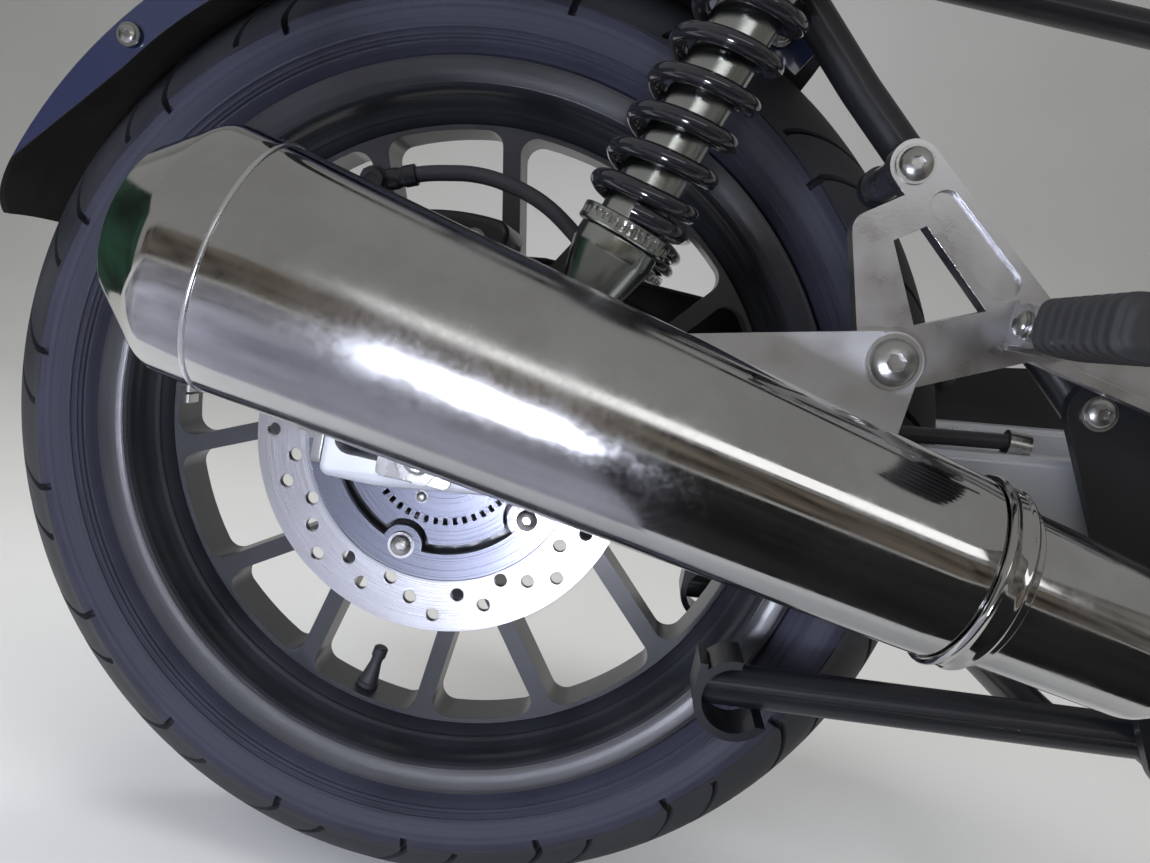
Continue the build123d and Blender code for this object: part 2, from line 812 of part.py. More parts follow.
with BuildPart() as brake_caliper:
    with BuildSketch(wheel_face(caliper_right)):
        Circle(caliper_outer_radius)
        Circle(caliper_inner_radius, mode=Mode.SUBTRACT)
        with BuildLine():
            Polyline(
                (0, 0),
                polar(2 * caliper_outer_radius, caliper_angle - caliper_half_angle),
                polar(2 * caliper_outer_radius, caliper_angle + caliper_half_angle),
                close=True,
            )
        make_face(mode=Mode.INTERSECT)
    extrude(amount=caliper_right - caliper_left)
    fillet(brake_caliper.edges().filter_by(Axis.Y), caliper_corner)
    fillet(brake_caliper.faces().filter_by(Axis.Y).edges(), caliper_edge)
    pad_space = pad_gap + pad_thickness
    with BuildSketch(wheel_face(disc_face - pad_space)):
        Circle(caliper_space)
    extrude(amount=-(disc_thickness + 2 * pad_space), mode=Mode.SUBTRACT)
    for ear_angle in ear_angles:
        with BuildSketch(wheel_face(bracket_inner - bracket_thickness)):
            with Locations(polar(ear_circle, ear_angle)):
                Circle(ear_size)
            with Locations(polar(ear_circle + ear_root_step, 0.5 * (ear_angle + caliper_angle))):
                Circle(ear_size)
            make_hull()
            with Locations(polar(ear_circle, ear_angle)):
                Circle(ear_bolt_radius, mode=Mode.SUBTRACT)
        extrude(amount=ear_size)
    with BuildSketch(wheel_face(caliper_right)):
        with Locations(polar(caliper_boss_circle, caliper_angle)):
            Circle(caliper_boss_radius)
    extrude(amount=caliper_boss_height, taper=caliper_boss_taper)
keep(brake_caliper, "brake_caliper")

with BuildPart() as brake_pads:
    for pad_y in (disc_face - pad_gap, disc_back + pad_gap + pad_thickness):
        with BuildSketch(wheel_face(pad_y)):
            Circle(disc_radius - pad_inset)
            Circle(disc_band_radius + pad_inset - 1, mode=Mode.SUBTRACT)
            with BuildLine():
                Polyline(
                    (0, 0),
                    polar(2 * disc_radius, caliper_angle - pad_half_angle),
                    polar(2 * disc_radius, caliper_angle + pad_half_angle),
                    close=True,
                )
            make_face(mode=Mode.INTERSECT)
        extrude(amount=pad_thickness)
keep(brake_pads, "brake_pads")

# Brake hose, held by the caliper and by clips on the right arm
hose_points = [(axle_x + dx, hose_y, axle_z + dz) for dx, dz in hose_route]
hose_radii = []
for before, corner, after in zip(hose_points, hose_points[1:], hose_points[2:]):
    run_in = Vector(corner) - Vector(before)
    run_out = Vector(after) - Vector(corner)
    half_turn = radians(run_in.get_angle(run_out)) / 2
    hose_radii.append(0.45 * min(run_in.length, run_out.length) * cos(half_turn) / sin(half_turn))
with BuildPart() as brake_hose:
    with BuildLine() as hose_path:
        FilletPolyline(*hose_points, radius=hose_radii)
    with BuildSketch(Plane(origin=hose_path.line @ 0, z_dir=hose_path.line % 0)):
        Circle(hose_radius)
    sweep(path=hose_path.line)
keep(brake_hose, "brake_hose")

# Clips that hold the hose on the arm's upper edge
with BuildPart() as hose_clips:
    for dx, dz in clip_places:
        with BuildSketch(Plane(origin=(axle_x + dx, hose_y, axle_z + dz), x_dir=(0, 1, 0), z_dir=(1, 0, 0))):
            Circle(hose_radius + clip_wall)
            with Locations((0, -clip_foot / 2)):
                Rectangle(2 * hose_radius + 2, clip_foot)
        extrude(amount=clip_length)
    add(brake_hose.part, mode=Mode.SUBTRACT)
    add(swingarm_arm.part, mode=Mode.SUBTRACT)
keep(hose_clips, "hose_clips")

# Chain guard on the left arm: a side plate, a top flange, and a lug down to a boss on the arm
guard_spine = (
    (chain_guard_rear, chain_guard_top - chain_guard_bow),
    (chain_guard_knee, chain_guard_top),
    (chain_guard_front, chain_guard_top - chain_guard_bow),
)
guard_lug = (axle_x + chain_guard_front - chain_guard_lug_inset, axle_z + chain_guard_top - chain_guard_depth)
with BuildPart() as chain_guard:
    with BuildSketch(wheel_face(chain_guard_y + chain_guard_width)):
        with BuildLine():
            Polyline(
                *guard_spine,
                *[(x, z - chain_guard_depth) for x, z in guard_spine[::-1]],
                (chain_guard_rear - chain_guard_depth, chain_guard_top - 2 * chain_guard_depth),
                close=True,
            )
        make_face()
    extrude(amount=-chain_guard_wall)
    with BuildSketch(wheel_face(chain_guard_y)):
        with BuildLine():
            Polyline(*guard_spine, *[(x, z + chain_guard_wall) for x, z in guard_spine[::-1]], close=True)
        make_face()
    extrude(amount=-chain_guard_width - chain_guard_wall)
    with BuildSketch(side_face(chain_guard_y + chain_guard_width)):
        with Locations(guard_lug, (guard_lug[0], axle_z + chain_guard_boss)):
            Circle(chain_guard_lug_radius)
        make_hull()
    extrude(amount=-chain_guard_wall)
    with BuildSketch(side_face(chain_guard_y + chain_guard_width + chain_guard_wall)):
        with Locations((guard_lug[0], axle_z + chain_guard_boss)):
            Circle(chain_guard_lug_radius - 1)
    extrude(amount=-(arm_inner - chain_guard_y - chain_guard_width - chain_guard_wall))
keep(chain_guard, "chain_guard")


# Shock absorbers
lean = radians(shock_lean)
foot_origin = (foot[0], -shock_y, foot[1])
shock_axis = (sin(lean), 0, cos(lean))


def shock_plane(along):
    origin = tuple(start + along * step for start, step in zip(foot_origin, shock_axis))
    return Plane(origin=origin, x_dir=(0, -1, 0), z_dir=shock_axis)


shock_section = Plane(origin=foot_origin, x_dir=(0, -1, 0), z_dir=(-cos(lean), 0, sin(lean)))
shock_line = Axis(foot_origin, shock_axis)
shock_top = (foot[0] + shock_length * sin(lean), foot[1] + shock_length * cos(lean))
spring_start = collar_at + collar_height + wire_radius
closed_pitch = 2 * wire_radius + coil_gap
half_rises = [closed_pitch / 2] * 2 + [spring_pitch / 2] * (2 * spring_open_turns) + [closed_pitch / 2] * 2
spring_end = spring_start + sum(half_rises)

with BuildPart() as shock_body:
    with BuildSketch(shock_section):
        with BuildLine():
            Polyline(
                (0, shock_foot_start),
                (shock_foot_radius, shock_foot_start),
                (shock_foot_radius, shock_foot_start + shock_foot_straight),
                (shock_barrel_radius, collar_at - shock_taper_end),
                (shock_barrel_radius, collar_at),
                (collar_radius - collar_bevel, collar_at),
                (collar_radius, collar_at + collar_bevel),
                (collar_radius, collar_at + collar_height),
                (inner_tube_radius, collar_at + collar_height),
                (inner_tube_radius, spring_end - damper_top_gap),
                (shock_rod_radius, spring_end - damper_top_gap),
                (shock_rod_radius, spring_end - rod_end_gap),
                (0, spring_end - rod_end_gap),
                close=True,
            )
        make_face()
    revolve(axis=shock_line)
    with BuildSketch(side_face(-shock_y + eye_width / 2)):
        with Locations(foot):
            Circle(eye_radius)
    extrude(amount=eye_width)
    with BuildSketch(side_face(-shock_y + eye_width / 2)):
        with Locations(foot):
            Circle(stud_radius)
    extrude(amount=eye_width, mode=Mode.SUBTRACT)
keep_pair(shock_body, "shock_body")

spring_points = []
height = spring_start
for index, rise in enumerate([0] + half_rises):
    height += rise
    spring_points.append((spring_radius * (-1) ** index, 0, height))
with BuildPart() as shock_spring:
    with BuildLine(Plane(origin=foot_origin, x_dir=(0, -1, 0), z_dir=shock_axis)) as coil:
        for index, (low, high) in enumerate(zip(spring_points, spring_points[1:])):
            centre = [(a + b) / 2 for a, b in zip(low, high)]
            bow = hypot(low[0] - high[0], low[2] - high[2]) / 2 * (-1) ** index
            ThreePointArc(low, (centre[0], bow, centre[2]), high)
    with BuildSketch(Plane(origin=coil.line @ 0, z_dir=coil.line % 0)):
        Circle(wire_radius)
    sweep(path=coil.line)
keep_pair(shock_spring, "shock_spring")

top_cap_radius = spring_radius + wire_radius + top_cap_lip
with BuildPart() as shock_top_cap:
    with BuildSketch(shock_section):
        with BuildLine():
            Polyline(
                (0, spring_end + wire_radius),
                (top_cap_radius, spring_end + wire_radius),
                (top_cap_radius, spring_end + wire_radius + top_cap_height),
                (eye_width / 2 - 1, spring_end + wire_radius + top_cap_height + top_cap_taper),
                (eye_width / 2 - 1, shock_length - shock_foot_start),
                (0, shock_length - shock_foot_start),
                close=True,
            )
        make_face()
    revolve(axis=shock_line)
    with BuildSketch(shock_section):
        with BuildLine():
            Polyline(
                (0, spring_end - rod_end_gap),
                (shock_rod_radius, spring_end - rod_end_gap),
                (shock_rod_radius, spring_end + wire_radius),
                (0, spring_end + wire_radius),
                close=True,
            )
        make_face()
    revolve(axis=shock_line)
    with BuildSketch(side_face(-shock_y + eye_width / 2)):
        with Locations(shock_top):
            Circle(eye_radius)
    extrude(amount=eye_width)
    with BuildSketch(side_face(-shock_y + eye_width / 2)):
        with Locations(shock_top):
            Circle(stud_radius)
    extrude(amount=eye_width, mode=Mode.SUBTRACT)
keep_pair(shock_top_cap, "shock_top")

# Silencers
fall = radians(silencer_fall)
toe = radians(silencer_toe_in)
silencer_axis = Vector(cos(fall) * cos(toe), sin(toe) * cos(fall), -sin(fall))
silencer_origin = Vector(axle_x + silencer_dx, -silencer_y, axle_z + silencer_dz)
silencer_side = silencer_axis.cross(Vector(0, 1, 0)).cross(silencer_axis) * -1
silencer_section = Plane(origin=silencer_origin, x_dir=silencer_axis, z_dir=silencer_side)
silencer_line = Axis(silencer_origin, silencer_axis)


def turned_piece(outline, corner=None, corner_radius=0.0):
    """Revolve an outline about the silencer's axis, with one of its corners rounded."""
    with BuildPart() as turned:
        with BuildSketch(silencer_section) as section:
            with BuildLine():
                Polyline(*outline, close=True)
            make_face()
            if corner:
                fillet(section.vertices().sort_by_distance(corner)[0], corner_radius)
        revolve(axis=silencer_line)
    return turned


sleeve_outside = pipe_neck_radius + slip_gap + silencer_wall
body_outline = (
    (0, silencer_rear_radius),
    (silencer_length, silencer_front_radius),
    (silencer_length, sleeve_outside),
    (silencer_length + clamp_length + sleeve_overlap, sleeve_outside),
    (silencer_length + clamp_length + sleeve_overlap, pipe_neck_radius + slip_gap),
    (silencer_length - silencer_wall, pipe_neck_radius + slip_gap),
    (silencer_length - silencer_wall, silencer_front_radius - silencer_wall),
    (0, silencer_rear_radius - silencer_wall),
)
with BuildPart() as silencer_solid:
    with BuildSketch(silencer_section):
        with BuildLine():
            Polyline(
                (0, 0),
                (0, silencer_rear_radius),
                (silencer_length, silencer_front_radius),
                (silencer_length, 0),
                close=True,
            )
        make_face()
    revolve(axis=silencer_line)
silencer_body = turned_piece(body_outline)
keep_pair(silencer_body, "silencer_body")

cap_outline = (
    (-seat_gap, silencer_rear_radius),
    (-seat_gap, silencer_rear_radius - silencer_wall),
    (silencer_wall - cap_length, silencer_rear_radius - silencer_wall),
    (silencer_wall - cap_length - cap_cone_length, outlet_radius - silencer_wall),
    (silencer_wall - cap_length - cap_cone_length, outlet_radius - 2 * silencer_wall),
    (outlet_depth, outlet_radius - 2 * silencer_wall),
    (outlet_depth, 0),
    (outlet_depth - outlet_floor, 0),
    (outlet_depth - outlet_floor, outlet_radius - 3 * silencer_wall),
    (-cap_length - cap_cone_length, outlet_radius - 3 * silencer_wall),
    (-cap_length - cap_cone_length, outlet_radius),
    (-cap_length, silencer_rear_radius + 2 * seat_gap),
)
silencer_cap = turned_piece(cap_outline, cap_outline[-1], cap_corner)
keep_pair(silencer_cap, "silencer_cap")

clamp_outline = (
    (silencer_length + clamp_bevel, sleeve_outside + slip_gap),
    (silencer_length + clamp_bevel, clamp_radius + clamp_lip - clamp_bevel),
    (silencer_length + 2 * clamp_bevel, clamp_radius + clamp_lip),
    (silencer_length + clamp_length - clamp_bevel, clamp_radius + clamp_bevel),
    (silencer_length + clamp_length, clamp_radius),
    (silencer_length + clamp_length, sleeve_outside + slip_gap),
)
silencer_clamp = turned_piece(clamp_outline)
keep_pair(silencer_clamp, "silencer_clamp")

pipe_start = silencer_length - pipe_overlap
pipe_end = silencer_length + clamp_length + pipe_length
pipe_outline = (
    (pipe_start, pipe_neck_radius),
    (silencer_length + clamp_length, pipe_neck_radius),
    (pipe_end - inlet_length - pipe_taper, pipe_mid_radius),
    (pipe_end - inlet_length, inlet_radius + silencer_wall),
    (pipe_end, inlet_radius + silencer_wall),
    (pipe_end, inlet_radius),
    (pipe_end - inlet_length, inlet_radius),
    (pipe_end - inlet_length - pipe_taper, pipe_mid_radius - silencer_wall),
    (silencer_length + clamp_length, pipe_neck_radius - silencer_wall),
    (pipe_start, pipe_neck_radius - silencer_wall),
)
exhaust_pipe = turned_piece(pipe_outline)
keep_pair(exhaust_pipe, "exhaust_pipe")

with BuildPart() as silencer_bracket:
    with BuildSketch(wheel_face(hanger_y + hanger_thickness / 2)):
        with BuildLine():
            Polyline(*hanger_corners, close=True)
        make_face()
        with Locations(hanger_boss):
            Circle(hanger_boss_radius)
            Circle(hanger_bolt_radius, mode=Mode.SUBTRACT)
    extrude(amount=hanger_thickness)
    add(silencer_solid.part, mode=Mode.SUBTRACT)
keep_pair(silencer_bracket, "silencer_bracket")

# Step holders: open castings that carry the silencer brackets and the folding pegs
holder_right = -hanger_y - hanger_thickness / 2
holder_nodes = {name: (axle_x + dx, axle_z + dz, radius) for name, dx, dz, radius in holder_places}
peg_x, peg_z, elbow_radius = holder_nodes["elbow"]
peg_y = -holder_right - peg_offset
ear_gap = peg_tongue / 2 + peg_side_gap
with BuildPart() as step_holder:
    for link in holder_links:
        with BuildSketch(side_face(-holder_right + holder_thickness)):
            for node_name in link:
                node_x, node_z, node_radius = holder_nodes[node_name]
                with Locations((node_x, node_z)):
                    Circle(node_radius)
            make_hull()
        extrude(amount=holder_thickness)
    for node_name, inner_y in (("top", rail_y + stay_radius), ("front", plate_outer)):
        node_x, node_z, node_radius = holder_nodes[node_name]
        with BuildSketch(side_face(-holder_right + holder_thickness)):
            with Locations((node_x, node_z)):
                Circle(node_radius - holder_spacer_step)
        extrude(amount=-(holder_right - holder_thickness - inner_y))
    with BuildSketch(side_face(-holder_right)):
        with Locations((peg_x, peg_z)):
            Rectangle(2 * ear_gap + 2 * peg_ear, peg_seat_height)
    extrude(amount=peg_seat_depth)
    for ear_x in (-ear_gap - peg_ear, ear_gap):
        with BuildSketch(Plane(origin=(peg_x + ear_x, 0, peg_z), x_dir=(0, 1, 0), z_dir=(1, 0, 0))):
            with Locations((peg_y, 0)):
                Circle(peg_ear_radius)
            with Locations((0.5 * (peg_y - holder_right), 0)):
                Rectangle(peg_offset, 2 * peg_ear_radius)
        extrude(amount=peg_ear)
    with BuildSketch(Plane(origin=(peg_x - ear_gap - 1, 0, peg_z), x_dir=(0, 1, 0), z_dir=(1, 0, 0))):
        with Locations((peg_y, 0)):
            Circle(peg_pin_radius)
    extrude(amount=2 * ear_gap + 2)
    for from_name, to_name, start, end in pocket_spans:
        with BuildSketch(side_face(-holder_right)):
            for share in (start, end):
                pocket_x, pocket_z, pocket_width = [
                    a + share * (b - a) for a, b in zip(holder_nodes[from_name], holder_nodes[to_name])
                ]
                with Locations((pocket_x, pocket_z)):
                    Circle(pocket_width - holder_rib)
            make_hull()
        extrude(amount=-holder_pocket_depth, mode=Mode.SUBTRACT)
keep_pair(step_holder, "step_holder")

# Passenger pegs: a tongue on the holder's pin, and a rubber-covered bar
with BuildPart() as passenger_peg:
    with BuildSketch(Plane(origin=(peg_x - peg_tongue / 2, 0, peg_z), x_dir=(0, 1, 0), z_dir=(1, 0, 0))):
        with Locations((peg_y, 0)):
            Circle(peg_knuckle_radius)
        with Locations((peg_y - peg_neck_length / 2, 0)):
            Rectangle(peg_neck_length, peg_neck_height)
    extrude(amount=peg_tongue)
    with BuildSketch(side_face(peg_y - peg_bar_start)):
        with Locations((peg_x, peg_z)):
            RectangleRounded(peg_width, peg_height, peg_corner)
    extrude(amount=peg_length)
    fillet(passenger_peg.faces().sort_by(Axis.Y)[0].edges(), peg_end_fillet)
    with BuildSketch(Plane(origin=(peg_x - peg_tongue, 0, peg_z), x_dir=(0, 1, 0), z_dir=(1, 0, 0))):
        with Locations((peg_y, 0)):
            Circle(peg_pin_radius + running_gap)
    extrude(amount=2 * peg_tongue, mode=Mode.SUBTRACT)
keep_pair(passenger_peg, "passenger_peg")

# Frame plates at the pivot
with BuildPart() as frame_plate:
    with BuildSketch(side_face(-plate_inner)):
        for point_x, point_z, point_radius in plate_points:
            with Locations((point_x, point_z)):
                Circle(point_radius)
        make_hull()
    extrude(amount=plate_thickness)
    with BuildSketch(side_face(-plate_outer)):
        Circle(pivot_shaft_radius)
        with Locations((stand_pivot_x, stand_pivot_z)):
            Circle(stand_pin_radius)
        with Locations((frame_bolt_x, frame_bolt_z)):
            with GridLocations(1, frame_bolt_spacing, 1, 2):
                Circle(frame_bolt_radius)
    extrude(amount=-plate_thickness, mode=Mode.SUBTRACT)
keep_pair(frame_plate, "frame_plate")


# Seat rails, with the lug that carries each shock, and the tubes across them
def rail_z(x):
    return shock_top[1] + (shock_top[0] - x) * rail_slope


rail_axis = Vector(rail_rear_x - rail_front_x, 0, rail_z(rail_rear_x) - rail_z(rail_front_x))
with BuildPart() as seat_rail:
    with BuildSketch(Plane(origin=(rail_front_x, -rail_y, rail_z(rail_front_x)), z_dir=rail_axis)):
        Circle(rail_radius)
    extrude(amount=rail_axis.length)
    with BuildSketch(side_face(-rail_y - rail_radius + 1)):
        with Locations(shock_top):
            Circle(rail_lug_radius)
    extrude(amount=shock_y - eye_width / 2 - rail_y - rail_radius + 1)
    with BuildSketch(side_face(-shock_y + eye_width / 2)):
        with Locations(shock_top):
            Circle(stud_radius)
    extrude(amount=eye_width + stud_end)
keep_pair(seat_rail, "seat_rail")

loop_z = rail_z(rail_rear_x)
with BuildPart() as seat_loop:
    with BuildLine(Plane.XY.offset(loop_z)) as loop_path:
        ThreePointArc((rail_rear_x, -rail_y), (rail_rear_x - rail_y, 0), (rail_rear_x, rail_y))
    with BuildSketch(Plane(origin=(rail_rear_x, -rail_y, loop_z), z_dir=(-1, 0, 0))):
        Circle(rail_radius)
    sweep(path=loop_path.line)
    add(seat_rail.part, mode=Mode.SUBTRACT)
    mirror(seat_rail.part, about=Plane.XZ, mode=Mode.SUBTRACT)
keep(seat_loop, "seat_loop")

stay_head = (stay_head_x, rail_z(stay_head_x) - stay_head_drop)
with BuildPart() as frame_stay:
    with BuildLine() as stay_path:
        FilletPolyline(
            (stay_head[0], -rail_y, stay_head[1]),
            (stay_knee[0], -rail_y, stay_knee[1]),
            (stay_foot[0], -plate_inner + stay_radius, stay_foot[1]),
            radius=stay_bend,
        )
    with BuildSketch(Plane(origin=stay_path.line @ 0, z_dir=stay_path.line % 0)):
        Circle(stay_radius)
    sweep(path=stay_path.line)
    add(seat_rail.part, mode=Mode.SUBTRACT)
    with BuildSketch(side_face(-rail_y)):
        with Locations(holder_nodes["top"][:2]):
            Circle(stay_radius)
        with Locations((holder_nodes["top"][0] + stay_ear[0], holder_nodes["top"][1] + stay_ear[1])):
            Circle(stay_ear[2])
        make_hull()
    extrude(amount=stay_radius)
keep_pair(frame_stay, "frame_stay")

tube_places = (stay_head_x + rear_tube_dx, front_tube_x)
tube_radius = rail_radius - tube_step
with BuildPart() as frame_tubes:
    for tube_x in tube_places:
        with BuildSketch(side_face(-rail_y)):
            with Locations((tube_x, rail_z(tube_x))):
                Circle(tube_radius)
        extrude(amount=-2 * rail_y)
    add(seat_rail.part, mode=Mode.SUBTRACT)
    mirror(seat_rail.part, about=Plane.XZ, mode=Mode.SUBTRACT)
keep(frame_tubes, "rail_tubes")

with BuildPart() as lower_tube:
    with BuildSketch(side_face(-plate_inner)):
        with Locations((lower_tube_x, lower_tube_z)):
            Circle(lower_tube_radius)
            Circle(lower_tube_radius - lower_tube_wall, mode=Mode.SUBTRACT)
    extrude(amount=-2 * plate_inner)
keep(lower_tube, "lower_tube")

# Mudguard, swept about the axle
guard_start = Plane(
    origin=(axle_x, 0, axle_z),
    x_dir=(0, 1, 0),
    z_dir=(sin(radians(guard_front_angle)), 0, -cos(radians(guard_front_angle))),
)
with BuildPart() as mudguard:
    with BuildSketch(guard_start):
        with BuildLine():
            Line((-guard_half_width, guard_edge_radius), (-guard_half_width, guard_radius - guard_crown_drop))
            ThreePointArc(
                (-guard_half_width, guard_radius - guard_crown_drop),
                (0, guard_radius),
                (guard_half_width, guard_radius - guard_crown_drop),
            )
            Line((guard_half_width, guard_radius - guard_crown_drop), (guard_half_width, guard_edge_radius))
            offset(amount=guard_wall, side=Side.RIGHT)
        make_face()
    revolve(axis=axle_line, revolution_arc=guard_front_angle - guard_rear_angle)
    with BuildSketch(wheel_face(-guard_half_width - 10)):
        with BuildLine():
            Polyline(*guard_trim, close=True)
        make_face()
    extrude(amount=-2 * guard_half_width - 20, mode=Mode.SUBTRACT)
keep(mudguard, "mudguard")

# Mudguard brackets: a strap from each cross tube down to the crown
with BuildPart() as guard_space:
    with BuildSketch(guard_start):
        with BuildLine():
            ThreePointArc(
                (-guard_half_width, guard_radius - guard_crown_drop),
                (0, guard_radius),
                (guard_half_width, guard_radius - guard_crown_drop),
            )
            Polyline(
                (guard_half_width, guard_radius - guard_crown_drop),
                (guard_half_width, rim_inner_radius),
                (-guard_half_width, rim_inner_radius),
                (-guard_half_width, guard_radius - guard_crown_drop),
            )
        make_face()
    revolve(axis=axle_line, revolution_arc=guard_front_angle - guard_rear_angle)
with BuildPart() as guard_bracket:
    for tube_x in tube_places:
        with BuildSketch(side_face(-guard_strap_width / 2)):
            with Locations((tube_x, rail_z(tube_x))):
                Circle(tube_radius + guard_strap_wall)
            with Locations((tube_x, axle_z + guard_radius - guard_crown_drop)):
                Rectangle(2 * tube_radius, 2 * guard_crown_drop)
            make_hull()
        extrude(amount=-guard_strap_width)
    add(frame_tubes.part, mode=Mode.SUBTRACT)
    add(guard_space.part, mode=Mode.SUBTRACT)
keep(guard_bracket, "guard_bracket")

# Centre stand, folded under the silencers, with its pins in the frame plates
stand_angle = radians(180 + stand_fold)
stand_foot = (
    stand_pivot_x + stand_leg * cos(stand_angle),
    stand_pivot_z + stand_leg * sin(stand_angle),
)
stand_bar = (
    stand_pivot_x + stand_bar_reach * cos(stand_angle),
    stand_pivot_z + stand_bar_reach * sin(stand_angle),
)
stand_shoe = (stand_foot[0] + stand_shoe_radius - stand_shoe_wall, stand_foot[1] - stand_shoe_drop)
leg_axis = Vector(stand_foot[0] - stand_pivot_x, 0, stand_foot[1] - stand_pivot_z)
with BuildPart() as centre_stand:
    for leg_side in (-1, 1):
        leg_y = leg_side * stand_y
        with BuildSketch(Plane(origin=(stand_pivot_x, leg_y, stand_pivot_z), z_dir=leg_axis)):
            Circle(stand_tube_radius)
        extrude(amount=leg_axis.length)
        with BuildSketch(side_face(leg_y + stand_tube_radius)):
            with Locations((stand_pivot_x, stand_pivot_z)):
                Circle(stand_lug_radius)
        extrude(amount=2 * stand_tube_radius)
        with BuildSketch(side_face(leg_y + stand_shoe_width / 2)):
            with Locations(stand_shoe):
                Circle(stand_shoe_radius)
                Circle(stand_shoe_radius - stand_shoe_wall, mode=Mode.SUBTRACT)
            with Locations((stand_shoe[0] + stand_shoe_radius, stand_shoe[1] + stand_shoe_radius)):
                Rectangle(2 * stand_shoe_radius, 3 * stand_shoe_radius, mode=Mode.SUBTRACT)
            with Locations((stand_shoe[0] - stand_shoe_radius + stand_shoe_wall / 2, stand_shoe[1] + stand_shoe_heel / 2)):
                Rectangle(stand_shoe_wall, stand_shoe_heel)
        extrude(amount=stand_shoe_width)
        with BuildSketch(side_face(leg_side * (stand_y + stand_tube_radius))):
            with Locations((stand_pivot_x, stand_pivot_z)):
                Circle(stand_pin_radius - running_gap)
        extrude(amount=-leg_side * (plate_outer + 2 - stand_y - stand_tube_radius))
    with BuildSketch(side_face(-stand_y)):
        with Locations(stand_bar):
            Circle(stand_tube_radius - 1)
    extrude(amount=-2 * stand_y)
keep(centre_stand, "centre_stand")
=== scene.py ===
import json

import bmesh
import bpy
import numpy as np
from mathutils import Matrix, Vector

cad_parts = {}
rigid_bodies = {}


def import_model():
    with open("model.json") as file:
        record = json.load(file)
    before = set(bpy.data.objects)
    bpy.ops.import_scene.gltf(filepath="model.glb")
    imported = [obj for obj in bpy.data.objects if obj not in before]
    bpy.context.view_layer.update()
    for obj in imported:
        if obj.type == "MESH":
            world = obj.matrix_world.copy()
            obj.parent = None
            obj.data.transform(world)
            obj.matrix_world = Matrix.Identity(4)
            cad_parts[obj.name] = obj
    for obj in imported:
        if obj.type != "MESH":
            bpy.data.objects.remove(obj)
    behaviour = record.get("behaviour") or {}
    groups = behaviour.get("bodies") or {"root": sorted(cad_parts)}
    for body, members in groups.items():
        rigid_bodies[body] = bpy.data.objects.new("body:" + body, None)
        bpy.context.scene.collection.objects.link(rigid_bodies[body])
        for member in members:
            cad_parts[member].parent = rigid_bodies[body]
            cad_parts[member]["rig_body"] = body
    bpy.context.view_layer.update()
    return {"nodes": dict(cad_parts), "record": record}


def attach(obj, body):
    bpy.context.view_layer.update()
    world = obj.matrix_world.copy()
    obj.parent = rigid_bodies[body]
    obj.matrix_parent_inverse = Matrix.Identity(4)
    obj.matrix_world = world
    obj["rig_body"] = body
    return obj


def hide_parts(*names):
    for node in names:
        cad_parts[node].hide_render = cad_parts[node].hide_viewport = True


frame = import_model()
scene = bpy.context.scene
print("frame loaded:", len(frame["nodes"]), "nodes")

axle = np.array([-0.48, 0.0, -0.06])    # wheel axle's middle; the row's origin is the swingarm pivot
shoulderBand = (0.2778, 0.2806)         # radii between which the tyre's wall turns into its tread
discInner, discOuter = 0.060, 0.125     # radii between which the disc's colour bands lie
filmAt = (-0.434, 0.0, 0.003)           # the line along Y round which the silencers are hazy


def newMaterial(name, colour, metallic, roughness, *others):
    # others: (input's name, value) pairs
    mat = bpy.data.materials.new(name)
    mat.use_nodes = True
    shader = mat.node_tree.nodes["Principled BSDF"]
    basics = (("Base Color", (*colour, 1)), ("Metallic", metallic), ("Roughness", roughness))
    for socket, value in basics + others:
        shader.inputs[socket].default_value = value
    return mat, mat.node_tree, shader


def surface(tree, shader, colour, roughness):
    tree.links.new(colour, shader.inputs["Base Color"])
    tree.links.new(roughness, shader.inputs["Roughness"])


def addNode(tree, kind, **settings):
    node = tree.nodes.new(kind)
    for key, value in settings.items():
        setattr(node, key, value)
    return node


def setInput(tree, socket, value):
    # a plain number or colour is set, and another node's output is linked
    if isinstance(value, (int, float, tuple)):
        socket.default_value = value
    else:
        tree.links.new(value, socket)


def objectCoords(tree, centre=(0, 0, 0)):
    coords = addNode(tree, "ShaderNodeTexCoord")
    mapping = addNode(tree, "ShaderNodeMapping", vector_type="POINT")
    mapping.inputs["Location"].default_value = [-c for c in centre]
    tree.links.new(coords.outputs["Object"], mapping.inputs["Vector"])
    return mapping.outputs["Vector"]


def noise(tree, vector, scale, detail=3.0, rough=0.5):
    node = addNode(tree, "ShaderNodeTexNoise")
    node.inputs["Scale"].default_value = scale
    node.inputs["Detail"].default_value = detail
    node.inputs["Roughness"].default_value = rough
    tree.links.new(vector, node.inputs["Vector"])
    return node.outputs["Fac"]


def ringNoise(tree, radius, scale, detail):
    # noise that changes with the distance from a line alone
    node = addNode(tree, "ShaderNodeTexNoise", noise_dimensions="1D")
    node.inputs["Scale"].default_value = scale
    node.inputs["Detail"].default_value = detail
    tree.links.new(radius, node.inputs["W"])
    return node.outputs["Fac"]


def blend(tree, share, first, second):
    # share 0 gives the first colour, and 1 the second, which may be a plain one
    node = addNode(tree, "ShaderNodeMix", data_type="RGBA")
    tree.links.new(share, node.inputs["Factor"])
    tree.links.new(first, node.inputs["A"])
    setInput(tree, node.inputs["B"], second)
    return node.outputs["Result"]


def ramp(tree, fac, stops):
    node = addNode(tree, "ShaderNodeValToRGB")
    band = node.color_ramp
    while len(band.elements) < len(stops):
        band.elements.new(0.5)
    for element, (place, colour) in zip(band.elements, stops):
        element.position = place
        element.color = (*colour, 1)
    tree.links.new(fac, node.inputs["Fac"])
    return node.outputs["Color"]


